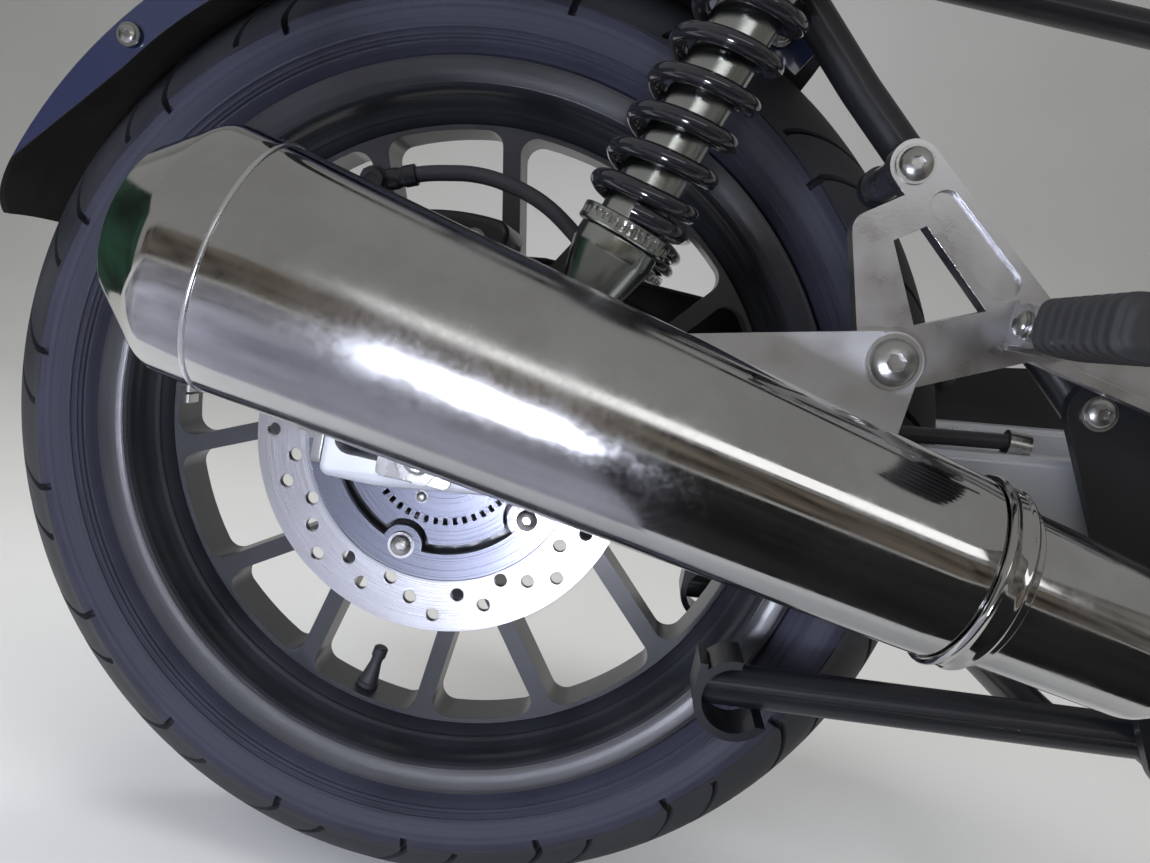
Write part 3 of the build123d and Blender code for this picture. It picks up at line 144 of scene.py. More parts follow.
def spread(tree, fac, low, high, fromLow=0.3, fromHigh=0.7):
    node = addNode(tree, "ShaderNodeMapRange")
    node.inputs["From Min"].default_value = fromLow
    node.inputs["From Max"].default_value = fromHigh
    node.inputs["To Min"].default_value = low
    node.inputs["To Max"].default_value = high
    tree.links.new(fac, node.inputs["Value"])
    return node.outputs["Result"]


def maths(tree, kind, a, b):
    node = addNode(tree, "ShaderNodeMath", operation=kind)
    setInput(tree, node.inputs[0], a)
    setInput(tree, node.inputs[1], b)
    return node.outputs["Value"]


def bump(tree, shader, height, strength, distance=0.001):
    node = addNode(tree, "ShaderNodeBump")
    node.inputs["Strength"].default_value = strength
    node.inputs["Distance"].default_value = distance
    tree.links.new(height, node.inputs["Height"])
    tree.links.new(node.outputs["Normal"], shader.inputs["Normal"])


def axleRadius(tree, centre=axle):
    # distance from the axle's line, or from another line along Y, in metres
    vector = objectCoords(tree, centre)
    flat = addNode(tree, "ShaderNodeVectorMath", operation="MULTIPLY")
    flat.inputs[1].default_value = (1, 0, 1)
    tree.links.new(vector, flat.inputs[0])
    length = addNode(tree, "ShaderNodeVectorMath", operation="LENGTH")
    tree.links.new(flat.outputs["Vector"], length.inputs[0])
    return length.outputs["Value"]


def tyreRubber():
    # the tread is matt and dusty; the sidewall has dust and rubbed rings, and a bluish tone that is partly
    # the rubber's own cool cast and partly painted sheen of the cool front light
    level = ("Specular IOR Level", 0.36)
    mat, tree, shader = newMaterial("tyreRubber", (0.02, 0.021, 0.025), 0, 0.62, level)
    vector = objectCoords(tree)
    radius = axleRadius(tree)
    dust = noise(tree, vector, 11, 5, 0.6)
    tread = spread(tree, radius, 0, 1, *shoulderBand)
    dustRingsAndSheen = maths(tree, "MULTIPLY", maths(tree, "ADD", dust, ringNoise(tree, radius, 420, 2)), 0.5)
    # the wall's bluish stops are partly painted sheen of the cool front light
    wall = ramp(tree, dustRingsAndSheen, [(0.32, (0.0085, 0.0092, 0.0145)), (0.68, (0.025, 0.0265, 0.040))])
    crown = ramp(tree, dust, [(0.35, (0.011, 0.0115, 0.013)), (0.7, (0.026, 0.026, 0.028))])
    surface(tree, shader, blend(tree, tread, wall, crown), spread(tree, dust, 0.46, 0.7))
    bump(tree, shader, noise(tree, vector, 900, 2), 0.22, 0.0004)
    return mat


def castBlack():
    gloss = (("Specular IOR Level", 0.85), ("Coat Weight", 0.5), ("Coat Roughness", 0.22))
    mat, tree, shader = newMaterial("castBlack", (0.010, 0.011, 0.014), 0, 0.36, *gloss)
    vector = objectCoords(tree)
    cloud = noise(tree, vector, 14, 3)
    colour = ramp(tree, cloud, [(0.3, (0.006, 0.0065, 0.0085)), (0.7, (0.013, 0.014, 0.018))])
    surface(tree, shader, colour, spread(tree, cloud, 0.38, 0.5))
    bump(tree, shader, noise(tree, vector, 650, 2), 0.18, 0.0005)
    return mat


def discSteel():
    mat, tree, shader = newMaterial("discSteel", (0.62, 0.62, 0.64), 1, 0.3)
    radius = axleRadius(tree)
    # the carrier inside is darker than the swept band
    stops = [
        (0.0, (0.20, 0.21, 0.26)), (0.40, (0.24, 0.25, 0.31)),
        (0.45, (0.66, 0.66, 0.69)), (1.0, (0.72, 0.72, 0.75)),
    ]
    band = ramp(tree, spread(tree, radius, 0, 1, discInner, discOuter), stops)
    rings = ringNoise(tree, radius, 2600, 3)
    surface(tree, shader, band, spread(tree, rings, 0.24, 0.42))
    bump(tree, shader, rings, 0.25, 0.0002)
    return mat


def mottled(name, colour, metallic, roughness, shares, roughest, scale, grainScale, grain, *others):
    # a cloud varies the colour between two shares of it, and the roughness from 0.8 of it to the roughest
    mat, tree, shader = newMaterial(name, colour, metallic, roughness, *others)
    vector = objectCoords(tree)
    cloud = noise(tree, vector, scale, 4)
    low, high = [tuple(min(1, c * share) for c in colour) for share in shares]
    colour = ramp(tree, cloud, [(0.3, low), (0.7, high)])
    surface(tree, shader, colour, spread(tree, cloud, roughness * 0.8, roughness * roughest))
    bump(tree, shader, noise(tree, vector, grainScale, 2), grain, 0.0004)
    return mat


def brightMetal(name, colour, roughness, grain, metallic=1.0, mottle=0.12):
    shares = (1 - mottle, 1 + mottle)
    return mottled(name, colour, metallic, roughness, shares, 1.3, 40, 700, grain)


def paint(name, colour, roughness, coat, grain=0.05):
    gloss = (("Coat Weight", coat), ("Coat Roughness", 0.08))
    return mottled(name, colour, 0, roughness, (0.8, 1.25), 1.25, 6, 420, grain, *gloss)


def guardPaint():
    # glossy outside; faces that look towards the axle are matt and dusty
    coat = ("Coat Roughness", 0.06)
    mat, tree, shader = newMaterial("guardPaint", (0.012, 0.015, 0.036), 0, 0.2, coat)
    vector = objectCoords(tree, axle)
    facing = addNode(tree, "ShaderNodeNewGeometry")
    dot = addNode(tree, "ShaderNodeVectorMath", operation="DOT_PRODUCT")
    tree.links.new(facing.outputs["True Normal"], dot.inputs[0])
    tree.links.new(vector, dot.inputs[1])
    outside = spread(tree, dot.outputs["Value"], 0, 1, -0.002, 0.002)
    dust = noise(tree, vector, 18, 5, 0.6)
    under = ramp(tree, dust, [(0.3, (0.010, 0.010, 0.011)), (0.75, (0.030, 0.028, 0.026))])
    colour = blend(tree, outside, under, (0.011, 0.014, 0.034, 1))
    surface(tree, shader, colour, spread(tree, outside, 0.75, 0.2, 0, 1))
    tree.links.new(outside, shader.inputs["Coat Weight"])
    tree.links.new(spread(tree, outside, 0.15, 0.5, 0, 1), shader.inputs["Specular IOR Level"])
    bump(tree, shader, noise(tree, vector, 260, 3), 0.08, 0.0006)
    return mat


def mirrorChrome():
    mat, tree, shader = newMaterial("mirrorChrome", (0.70, 0.70, 0.705), 1, 0.06)
    vector = objectCoords(tree)
    haze = noise(tree, vector, 22, 5, 0.6)
    fine = noise(tree, vector, 380, 3)
    smear = maths(tree, "ADD", maths(tree, "MULTIPLY", haze, 0.7), maths(tree, "MULTIPLY", fine, 0.3))
    # a film of fine dust dulls the middle of each silencer
    film = spread(tree, axleRadius(tree, filmAt), 0.13, 0, 0.02, 0.11)
    rough = maths(tree, "ADD", spread(tree, smear, 0.05, 0.17, 0.4, 0.65), film)
    colour = ramp(tree, haze, [(0.35, (0.57, 0.565, 0.555)), (0.65, (0.66, 0.66, 0.66))])
    surface(tree, shader, colour, rough)
    bump(tree, shader, noise(tree, vector, 9, 2), 0.02, 0.004)
    return mat


def softRubber(name, colour, roughness):
    mat, tree, shader = newMaterial(name, colour, 0, roughness)
    vector = objectCoords(tree)
    bump(tree, shader, noise(tree, vector, 800, 2), 0.2, 0.0004)
    worn = spread(tree, noise(tree, vector, 30, 3), roughness * 0.8, roughness * 1.2)
    tree.links.new(worn, shader.inputs["Roughness"])
    return mat


finish = {
    "tyre_rubber": tyreRubber(),
    "satin_black_cast": castBlack(),
    "black_rubber": softRubber("blackRubber", (0.016, 0.016, 0.018), 0.45),
    "disc_steel": discSteel(),
    "zinc_steel": brightMetal("zincSteel", (0.58, 0.58, 0.57), 0.28, 0.15),
    "carrier_alloy": brightMetal("polishedAlloy", (0.66, 0.66, 0.68), 0.30, 0.08, mottle=0.08),
    "silver_paint": brightMetal("silverPaint", (0.40, 0.41, 0.44), 0.38, 0.05, metallic=0.5, mottle=0.05),
    "black_paint": paint("blackPaint", (0.0065, 0.0068, 0.0082), 0.4, 0.25),
    "shock_chrome": brightMetal("shockPlate", (0.54, 0.56, 0.54), 0.2, 0.06, mottle=0.14),
    "spring_black": paint("springBlack", (0.008, 0.008, 0.01), 0.12, 1.0, 0.02),
    "mirror_chrome": mirrorChrome(),
    "navy_paint": guardPaint(),
    "peg_rubber": softRubber("pegRubber", (0.02, 0.02, 0.021), 0.6),
}
slotOf = {s["node"]: s["material_slot"] for s in frame["record"]["subparts"]}
for name, obj in frame["nodes"].items():
    obj.data.materials.clear()
    obj.data.materials.append(finish[slotOf[name]])
print("finishes:", len(finish))


def gridFaces(rows, columns, wrapRows=False, wrapColumns=False):
    # quads between neighbouring points of a rows x columns grid
    r = np.arange(rows if wrapRows else rows - 1)
    c = np.arange(columns if wrapColumns else columns - 1)
    r, c = [a.ravel() for a in np.meshgrid(r, c, indexing="ij")]
    rn, cn = (r + 1) % rows, (c + 1) % columns
    return np.stack([r * columns + c, rn * columns + c, rn * columns + cn, r * columns + cn], axis=1)


def newPiece(name, parts, slot, body, nodes=(), sharp=35):
    # parts: (points, faces) pairs that become one mesh
    points = np.concatenate([p.reshape(-1, 3) for p, _ in parts])
    starts = np.cumsum([0] + [len(p.reshape(-1, 3)) for p, _ in parts[:-1]])
    faces = np.concatenate([f + s for (_, f), s in zip(parts, starts)])
    mesh = bpy.data.meshes.new(name)
    mesh.from_pydata(points, [], faces)
    mesh.update()
    tidy = bmesh.new()
    tidy.from_mesh(mesh)
    bmesh.ops.remove_doubles(tidy, verts=tidy.verts, dist=1e-6)
    bmesh.ops.recalc_face_normals(tidy, faces=tidy.faces)
    tidy.to_mesh(mesh)
    tidy.free()
    mesh.shade_smooth()
    mesh.set_sharp_from_angle(angle=np.radians(sharp))
    mesh.materials.append(finish[slot])
    obj = bpy.data.objects.new(name, mesh)
    scene.collection.objects.link(obj)
    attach(obj, body)
    if nodes:
        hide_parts(*nodes)
    return obj


def frameAlong(direction, hint=(0, 1, 0)):
    # two unit vectors square to the direction
    w = np.asarray(direction, float) / np.linalg.norm(direction)
    u = np.cross(hint, w)
    if np.linalg.norm(u) < 1e-6:
        u = np.cross((1, 0, 0), w)
    u /= np.linalg.norm(u)
    return u, np.cross(w, u), w


def softened(profile, size, steps=4):
    # each corner of a closed outline becomes a short curve between points set back along its two sides
    profile = np.asarray(profile, float)
    before, after = np.roll(profile, 1, 0), np.roll(profile, -1, 0)
    backIn = before - profile
    backOut = after - profile
    lengthIn = np.linalg.norm(backIn, axis=1, keepdims=True)
    lengthOut = np.linalg.norm(backOut, axis=1, keepdims=True)
    size = np.broadcast_to(np.asarray(size, float).reshape(-1, 1), (len(profile), 1))
    start = profile + backIn / lengthIn * np.minimum(size, 0.45 * lengthIn)
    end = profile + backOut / lengthOut * np.minimum(size, 0.45 * lengthOut)
    t = np.linspace(0, 1, steps + 1)[None, :, None]
    curve = (1 - t) ** 2 * start[:, None] + 2 * t * (1 - t) * profile[:, None] + t**2 * end[:, None]
    return curve.reshape(-1, 2)


def fullTurn(steps):
    return np.arange(steps) * 2 * np.pi / steps


def aroundLine(origin, direction, a, along, radius, hint=(0, 1, 0)):
    # for each angle a and each row: origin + along * w + radius * (cos a * u + sin a * v)
    u, v, w = frameAlong(direction, hint)
    ring = np.cos(a)[:, None] * u + np.sin(a)[:, None] * v
    return np.asarray(origin, float) + along[..., None] * w + radius[..., None] * ring[:, None]


def turned(origin, direction, profile, segments, closed=True):
    # the profile's (along, radius) pairs carried round a line
    profile = np.asarray(profile, float)
    points = aroundLine(origin, direction, fullTurn(segments), profile[None, :, 0], profile[None, :, 1])
    return points, gridFaces(segments, len(profile), True, closed)


def ringSection(low, high, inner, outer):
    # the (along, radius) corners of a ring with a hole
    return [[low, inner], [low, outer], [high, outer], [high, inner]]


def tubeAlong(path, radius, sides):
    # a circle of the radius carried along a path, with its frame kept from twisting and its ends closed
    path = np.asarray(path, float)
    tangent = np.gradient(path, axis=0)
    tangent /= np.linalg.norm(tangent, axis=1, keepdims=True)
    u, _, _ = frameAlong(tangent[0], (0.3, 0.9, 0.2))
    us = []
    for t in tangent:
        u = u - t * np.dot(u, t)
        u /= np.linalg.norm(u)
        us.append(u)
    us = np.array(us)
    vs = np.cross(tangent, us)
    a = fullTurn(sides)
    cosA, sinA = np.cos(a)[None, :, None], np.sin(a)[None, :, None]
    points = path[:, None] + radius * (cosA * us[:, None] + sinA * vs[:, None])
    first, last = [np.repeat(end[:, None], sides, 1) for end in (path[:1], path[-1:])]
    points = np.concatenate([first, points, last])
    return points, gridFaces(len(points), sides, False, True)


def mirrored(part):
    points, faces = part
    return points * np.array([1, -1, 1]), faces[:, ::-1]


def sided(part, side):
    # pieces are worked out on the right, and mirrored for the left
    return part if side == "right" else mirrored(part)


def softCopy(node, width, segments=2, angle=32):
    # the node's own form with its flat faces joined and its edges rounded
    source = frame["nodes"][node]
    work = bmesh.new()
    work.from_mesh(source.data)
    bmesh.ops.remove_doubles(work, verts=work.verts, dist=2e-6)
    bmesh.ops.dissolve_limit(work, angle_limit=np.radians(0.6), verts=work.verts, edges=work.edges)
    mesh = bpy.data.meshes.new("soft_" + node)
    work.to_mesh(mesh)
    work.free()
    mesh.shade_smooth()
    mesh.set_sharp_from_angle(angle=np.radians(angle))
    mesh.materials.clear()
    mesh.materials.append(finish[slotOf[node]])
    obj = bpy.data.objects.new("soft_" + node, mesh)
    scene.collection.objects.link(obj)
    edge = obj.modifiers.new("edge", "BEVEL")
    edge.width = width
    edge.segments = segments
    edge.limit_method = "ANGLE"
    edge.angle_limit = np.radians(angle)
    edge.harden_normals = True
    edge.use_clamp_overlap = True
    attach(obj, source["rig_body"])
    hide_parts(node)
    return obj


# tyre: crowned tread with swept grooves, notched shoulders, and ribbed sidewalls
tyre = {
    "radius": 0.3195, "halfWidth": 0.065, "treadHalf": 0.060, "crown": 0.068,
    "beadRadius": 0.229, "beadHalf": 0.0443, "beadWidth": 0.013, "flange": 0.2426,
    "units": 19, "notchAt": 255.6, "second": 0.375, "groove": 0.0028, "depth": 0.0052,
    "sweep": 15.0, "sweepEnd": 0.0735, "sweepPower": 1.25, "saw": 0.0034,
    "firstReach": (0.009, 0.087), "secondReach": (0.025, 0.0765), "runIn": 0.0015, "runOut": 0.002,
    "slope": 0.45, "plain": (0.1, 0.2, 0.29, 0.44, 0.6, 0.7, 0.79),
    "foot": (0.005, 0.003), "bulge": 0.003, "samples": 160,
    "beadCut": 0.009, "seatGap": 0.001, "wallThick": 0.011, "wallInner": 0.266,
    "shoulderThick": 0.012, "shoulderInner": 0.282, "crownInner": (0.030, 0.300),
}
# columns: distance in mm from the tread's middle, 1 where the row shifts with the notches, height in mm
treadRows = np.array([
    (0, 0, 0), (5, 0, 0), (9, 0, 0), (10.5, 0, 0), (15, 0, 0), (20, 0, 0), (25, 0, 0), (27, 0, 0),
    (32, 0, 0), (38, 0, 0), (44, 0, 0), (50, 0, 0), (56, 0, 0), (62, 0, 0), (67, 0, 0), (71, 0, 0),
    (74, 0, 0), (76.6, 0, 0), (78.0, 1, 0), (78.5, 1, -1.0), (79.3, 1, -1.0), (79.7, 1, 0.8),
    (85, 0, 0.6), (87, 0, 0.2), (90, 0, 0), (94, 0, 0), (98, 0, 0), (100.5, 0, 0), (101.2, 0, 0.6),
    (102.2, 0, 0.6), (102.9, 0, 0), (104.6, 0, 0), (105.2, 0, 0.6), (106.2, 0, 0.6), (106.8, 0, 0),
    (109, 0, 0), (109.6, 0, -0.7), (110.6, 0, -0.7), (111.2, 0, 0), (114, 0, 0),
])


def tyreOutline():
    # half the outline, from the tread's middle to the bead: an arc, then a bulging curve
    t = tyre
    turn = np.linspace(0, np.arcsin(t["treadHalf"] / t["crown"]), t["samples"])
    tread = np.stack([t["crown"] * np.sin(turn), t["radius"] - t["crown"] + t["crown"] * np.cos(turn)], 1)
    top, low = tread[-1], np.array([t["beadHalf"] + t["foot"][0], t["flange"] + t["foot"][1]])
    middle = np.array([2 * t["halfWidth"] - (low[0] + top[0]) / 2, (top[1] + low[1]) / 2 + t["bulge"]])
    f = np.linspace(0, 1, t["samples"])[1:, None]
    line = np.concatenate([tread, (1 - f) ** 2 * top + 2 * f * (1 - f) * middle + f**2 * low])
    along = np.concatenate([[0], np.cumsum(np.linalg.norm(np.diff(line, axis=0), axis=1))])
    tangent = np.gradient(line, along, axis=0)
    return along, line, np.stack([-tangent[:, 1], tangent[:, 0]], 1)


def grooveDepth(place, s):
    # place: share of a tread unit; s: distance from the tread's middle
    # depth = a flat floor with sloped walls across the groove, times run-out ends along it
    t = tyre
    width = t["groove"] / (2 * np.pi * t["radius"] / t["units"])
    deep = np.zeros(np.broadcast(place, s).shape)
    for centre, (start, end) in ((0, t["firstReach"]), (t["second"], t["secondReach"])):
        away = np.abs((place - centre + 0.5) % 1 - 0.5)
        across = np.clip((width - away) / (t["slope"] * width), 0, 1)
        reach = np.clip((s - start) / t["runIn"], 0, 1) * np.clip((end - s) / t["runOut"], 0, 1)
        deep = np.maximum(deep, across * reach)
    return deep * t["depth"]


def makeTyre():
    # point = axle + (outline radius + height - groove) turned by an angle that sweeps back
    # towards the tread's middle
    t = tyre
    along, line, normal = tyreOutline()
    width = t["groove"] / (2 * np.pi * t["radius"] / t["units"])
    # a unit's columns stand at the edges of both sides' grooves and of their floors, and between them
    floor = 1 - t["slope"]
    centres = (0, t["second"], 0.5, 0.5 + t["second"])
    edges = [centre + share * width for centre in centres for share in (-1, -floor, floor, 1)]
    unit = np.sort(np.concatenate([np.array(edges) % 1, t["plain"]]))
    column = (np.arange(t["units"])[:, None] + unit).ravel()
    sheets = []
    for side, offset in ((1, 0.5), (-1, 0.0)):
        place = (column + offset) % 1
        s = treadRows[None, :, 0] / 1000 + treadRows[None, :, 1] * t["saw"] * (1 - place[:, None])
        s = np.minimum(s, along[-1])
        height = treadRows[None, :, 2] / 1000 - grooveDepth(place[:, None], s)
        y, r, ny, nr = [np.interp(s, along, values) for values in (*line.T, *normal.T)]
        inward = np.clip((t["sweepEnd"] - s) / t["sweepEnd"], 0, 1)
        swept = np.radians(t["sweep"]) * inward ** t["sweepPower"]
        angle = np.radians(t["notchAt"]) + column[:, None] * 2 * np.pi / t["units"] - swept
        radius = r + nr * height
        x, z = axle[0] + radius * np.cos(angle), axle[2] + radius * np.sin(angle)
        sheets.append(np.stack([x, side * (y + ny * height), z], -1))
    # the inside: round the bead, up the wall and under the tread
    seat = t["flange"] - t["seatGap"]
    inner = np.array([
        (t["beadHalf"], seat), (t["beadHalf"], t["beadRadius"]),
        (t["beadHalf"] - t["beadWidth"], t["beadRadius"]), (t["beadHalf"] - t["beadCut"], seat),
        (t["halfWidth"] - t["wallThick"], t["wallInner"]),
        (t["treadHalf"] - t["shoulderThick"], t["shoulderInner"]), t["crownInner"],
    ])
    inner = np.concatenate([inner, inner[::-1] * [-1, 1]])
    base = np.radians(t["notchAt"]) + column[:, None] * 2 * np.pi / t["units"]
    x, z = axle[0] + inner[None, :, 1] * np.cos(base), axle[2] + inner[None, :, 1] * np.sin(base)
    lining = np.stack(np.broadcast_arrays(x, inner[None, :, 0], z), -1)
    ring = np.concatenate([sheets[0], lining, sheets[1][:, :0:-1]], axis=1)
    return ring, gridFaces(len(column), ring.shape[1], True, True)


newPiece("tyre_tread", [makeTyre()], "tyre_rubber", "wheel", ["tyre"], sharp=30)
print("tyre made")


# silencers: turned shells with a seam, a rounded cap, a clamp and a tapering pipe
silencer = {
    "origin": (-0.557, -0.2348, 0.0264), "fall": 11.0, "toeIn": 3.0, "length": 0.351, "rear": 0.059,
    "front": 0.0437, "wall": 0.002, "core": 0.0001, "seam": 0.0075, "seat": 0.00025, "segments": 160,
    "cap": 0.024, "cone": 0.027, "outlet": 0.0375, "baffle": (0.027, 0.030),
    "beadHalf": 0.0012, "beadRise": 0.0009, "beadSunk": 0.001,
    "neck": 0.0385, "spigot": 0.004, "spigotWall": 0.0022, "fit": 0.0002,
    "clampLength": 0.016, "clampRadius": 0.0425, "clampGap": 0.0024,
    "pipe": 0.153, "mid": 0.0345, "overlap": 0.006, "taper": 0.026, "inlet": 0.0192, "inletLength": 0.045,
    "shellSoft": 0.0008, "clampSoft": 0.0009, "pipeSoft": 0.006,
}
# rounding of the cap's corners, from the seam round the inside to the outer corner
capSoft = (0.0007, 0.0005, 0.004, 0.001, 0.001, 0.001, 0.001, 0.001, 0.001, 0.001, 0.002, 0.0048)
# the clamp's section: distance in from its rear or front edge, and height over its radius
clampRear = ((0.001, 0.002), (0.0028, 0.0042), (0.0058, 0.0024))
clampFront = ((0.0045, 0.0017), (0.0022, 0.0024), (0, 0.0004))

s = silencer
fall, toe = np.radians(s["fall"]), np.radians(s["toeIn"])
silencerAxis = (np.cos(fall) * np.cos(toe), np.sin(toe) * np.cos(fall), -np.sin(fall))
wall, core = s["wall"], s["core"]


def silencerShell(outline, side):
    return sided(turned(s["origin"], silencerAxis, outline, s["segments"]), side)


# the body runs from the seam to the front, and ends in a spigot for the clamp
seamRadius = s["rear"] + (s["front"] - s["rear"]) * s["seam"] / s["length"]
bodyTop = np.linspace((s["seam"], seamRadius), (s["length"], s["front"]), 24)
clampStart, clampEnd = s["length"], s["length"] + s["clampLength"]
spigotOuter, spigotInner = s["neck"] + s["spigotWall"], s["neck"] + s["fit"]
bodyOutline = np.concatenate([bodyTop, [
    [s["length"], spigotOuter], [clampEnd + s["spigot"], spigotOuter],
    [clampEnd + s["spigot"], spigotInner], [s["length"] - wall, spigotInner],
    [s["length"] - wall, s["front"] - wall], [s["seam"], seamRadius - wall],
]])

# the cap rounds off at its corner, falls in a cone to the outlet, and holds a baffle inside
corner = s["seam"] - s["cap"]
rearFace = corner - s["cone"]
mouth = s["outlet"] - wall - wall
capEdge = s["seam"] - s["seat"]
baffleRear, baffleFront = s["baffle"]
capOutline = np.array([
    [capEdge, seamRadius], [capEdge, seamRadius - wall], [corner + wall, s["rear"] - wall],
    [rearFace + wall, s["outlet"]], [rearFace + wall, mouth], [baffleFront, mouth], [baffleFront, core],
    [baffleRear, core], [baffleRear, mouth - wall], [rearFace, mouth - wall], [rearFace, s["outlet"]],
    [corner, s["rear"]],
])

clampInside = s["neck"] + s["clampGap"]
clampOutline = np.array([
    [clampStart + clampRear[0][0], clampInside],
    *[[clampStart + along, s["clampRadius"] + rise] for along, rise in clampRear],
    *[[clampEnd - along, s["clampRadius"] + rise] for along, rise in clampFront],
    [clampEnd, clampInside],
])

pipeEnd = clampEnd + s["pipe"]
inletStart = pipeEnd - s["inletLength"]
pipeStart = s["length"] - s["overlap"]
pipeOutline = np.array([
    [pipeStart, s["neck"]], [clampEnd, s["neck"]], [inletStart - s["taper"], s["mid"]],
    [inletStart, s["inlet"] + wall], [pipeEnd, s["inlet"] + wall], [pipeEnd, s["inlet"]],
    [inletStart, s["inlet"]], [inletStart - s["taper"], s["mid"] - wall],
    [clampEnd, s["neck"] - wall], [pipeStart, s["neck"] - wall],
])

# the seam's bead is half an ellipse with its feet sunk into the shell
a = np.linspace(0, np.pi, 9)
beadFoot = seamRadius - s["beadSunk"]
beadOutline = np.concatenate([
    np.stack([s["seam"] + s["beadHalf"] * np.cos(a), seamRadius + s["beadRise"] * np.sin(a)], 1),
    [[s["seam"] - s["beadHalf"], beadFoot], [s["seam"] + s["beadHalf"], beadFoot]],
])
# the bead's steel is rougher than the chrome so it catches the lamps, and lighter: a painted highlight along
# the seam
seamHighlightSteel = brightMetal("seamHighlightSteel", (0.86, 0.86, 0.87), 0.3, 0.02, mottle=0.04)

silencerShells = (("body", bodyOutline, s["shellSoft"]), ("cap", capOutline, capSoft),
                  ("clamp", clampOutline, s["clampSoft"]))
for side in ("right", "left"):
    for name, outline, soft in silencerShells:
        shell = silencerShell(softened(outline, soft), side)
        node = f"silencer_{name}_{side}"
        newPiece(f"{name}_{side}", [shell], "mirror_chrome", "rear_frame", [node], sharp=50)
    bead = silencerShell(beadOutline, side)
    bead = newPiece(f"seam_{side}", [bead], "mirror_chrome", "rear_frame", sharp=80)
    bead.data.materials[0] = seamHighlightSteel
for side in ("right", "left"):
    pipe = silencerShell(softened(pipeOutline, s["pipeSoft"]), side)
    newPiece(f"pipe_{side}", [pipe], "mirror_chrome", "rear_frame", [f"exhaust_pipe_{side}"], sharp=60)
print("silencers made")


# shock absorbers: damper, notched collar, coil and top; distances run from the foot's eye to the top's
shock = {
    "foot": (-0.411, -0.148, 0.032), "lean": 18.2, "length": 0.325, "core": 0.0001, "around": 72,
    "eye": 0.015, "eyeWidth": 0.026, "stud": 0.006, "eyeSoft": 0.0015, "neckEnd": 0.012,
    "footRadius": 0.0152, "footTop": 0.016, "footFlare": 0.0005, "barrel": 0.0225, "barrelAt": 0.010,
    "collar": 0.0255, "collarAt": 0.050, "collarHeight": 0.009, "collarGap": 0.0005,
    "teeth": 36, "tooth": 0.0007, "waveGain": 1.5, "waveShift": 0.4,
    "coil": 0.0254, "wire": 0.0047, "pitch": (0.0193, 0.0251), "openTurns": 7.4, "closedGap": 0.0006,
    "tube": 0.0175, "tubeShort": 0.030, "rod": 0.008, "rodShort": 0.004, "damperSoft": 0.0012,
    "seatLip": 0.002, "seatHeight": 0.012, "coneHeight": 0.022, "neck": 0.012, "topSoft": 0.0016,
}
k = shock
lean = np.radians(k["lean"])
shockAxis = (np.sin(lean), 0.0, np.cos(lean))
coilStart = k["collarAt"] + k["collarHeight"] + k["wire"]
closedPitch = 2 * k["wire"] + k["closedGap"]
coilEnd = coilStart + 2 * closedPitch + k["openTurns"] * sum(k["pitch"]) / 2


def coilPath():
    # place on a circle of the coil's radius; each turn rises by the closed pitch at both ends,
    # and by more and more between: low pitch * turns + (high - low) * turns squared / (2 * open turns)
    turns = np.linspace(0, k["openTurns"] + 2, 520)
    low, high = k["pitch"]
    past = np.clip(turns - 1, 0, k["openTurns"])
    closed = turns - past
    rise = closed * closedPitch + low * past + (high - low) * past**2 / (2 * k["openTurns"])
    u, v = np.array([0, -1.0, 0]), np.cross(shockAxis, (0, -1.0, 0))
    a = turns * 2 * np.pi
    return (np.array(k["foot"]) + (coilStart + rise)[:, None] * np.array(shockAxis)
            + k["coil"] * (np.cos(a)[:, None] * u + np.sin(a)[:, None] * v))


coil = tubeAlong(coilPath(), k["wire"], 18)
core, collarFoot = k["core"], k["collarAt"] - k["collarGap"]
tubeEnd, rodEnd = coilEnd - k["tubeShort"], coilEnd - k["rodShort"]
damperOutline = np.array([
    [k["neckEnd"], core], [k["neckEnd"], k["footRadius"]], [k["footTop"], k["footRadius"] + k["footFlare"]],
    [k["collarAt"] - k["barrelAt"], k["barrel"]], [collarFoot, k["barrel"]], [collarFoot, k["tube"]],
    [tubeEnd, k["tube"]], [tubeEnd, k["rod"]], [rodEnd, k["rod"]], [rodEnd, core],
])
seatAt, seatRadius = coilEnd + k["wire"], k["coil"] + k["wire"] + k["seatLip"]
topEnd = k["length"] - k["neckEnd"]
topOutline = np.array([
    [rodEnd, core], [rodEnd, k["rod"]], [seatAt, k["rod"]], [seatAt, seatRadius],
    [seatAt + k["seatHeight"], seatRadius], [seatAt + k["coneHeight"], k["neck"]],
    [topEnd, k["neck"]], [topEnd, core],
])


def toothedCollar():
    # radius over the angle: a flat-topped wave with rounded valleys, and a plain lip above and below it
    a, height = fullTurn(k["teeth"] * 12), k["collarHeight"]
    wave = np.clip(k["waveGain"] * np.cos(a * k["teeth"]) + k["waveShift"], -1, 1)
    heights = np.array([
        0.0, 0.0, 0.0008, 0.0022, 0.0026, height - 0.003, height - 0.0026, height - 0.0006, height, height,
    ])
    inset = np.array([0.0063, 0.0008, 0.0, 0.0, 0.0002, 0.0002, 0.0, 0.0, 0.0006, 0.0063])
    toothed = np.array([0, 0, 0, 0, 1, 1, 0, 0, 0, 0])
    radius = k["collar"] - inset[None] - k["tooth"] * (1 - wave)[:, None] * toothed[None]
    points = aroundLine(k["foot"], shockAxis, a, (k["collarAt"] + heights)[None], radius)
    return points, gridFaces(len(a), len(heights), True, False)


def eyeRing(along):
    centre = np.array(k["foot"]) + along * np.array(shockAxis)
    half = k["eyeWidth"] / 2
    ring = softened(ringSection(-half, half, k["stud"], k["eye"]), k["eyeSoft"])
    return turned(centre, (0, 1, 0), ring, 48)


def shockTurned(outline, soft):
    return turned(k["foot"], shockAxis, softened(outline, soft), k["around"], closed=False)


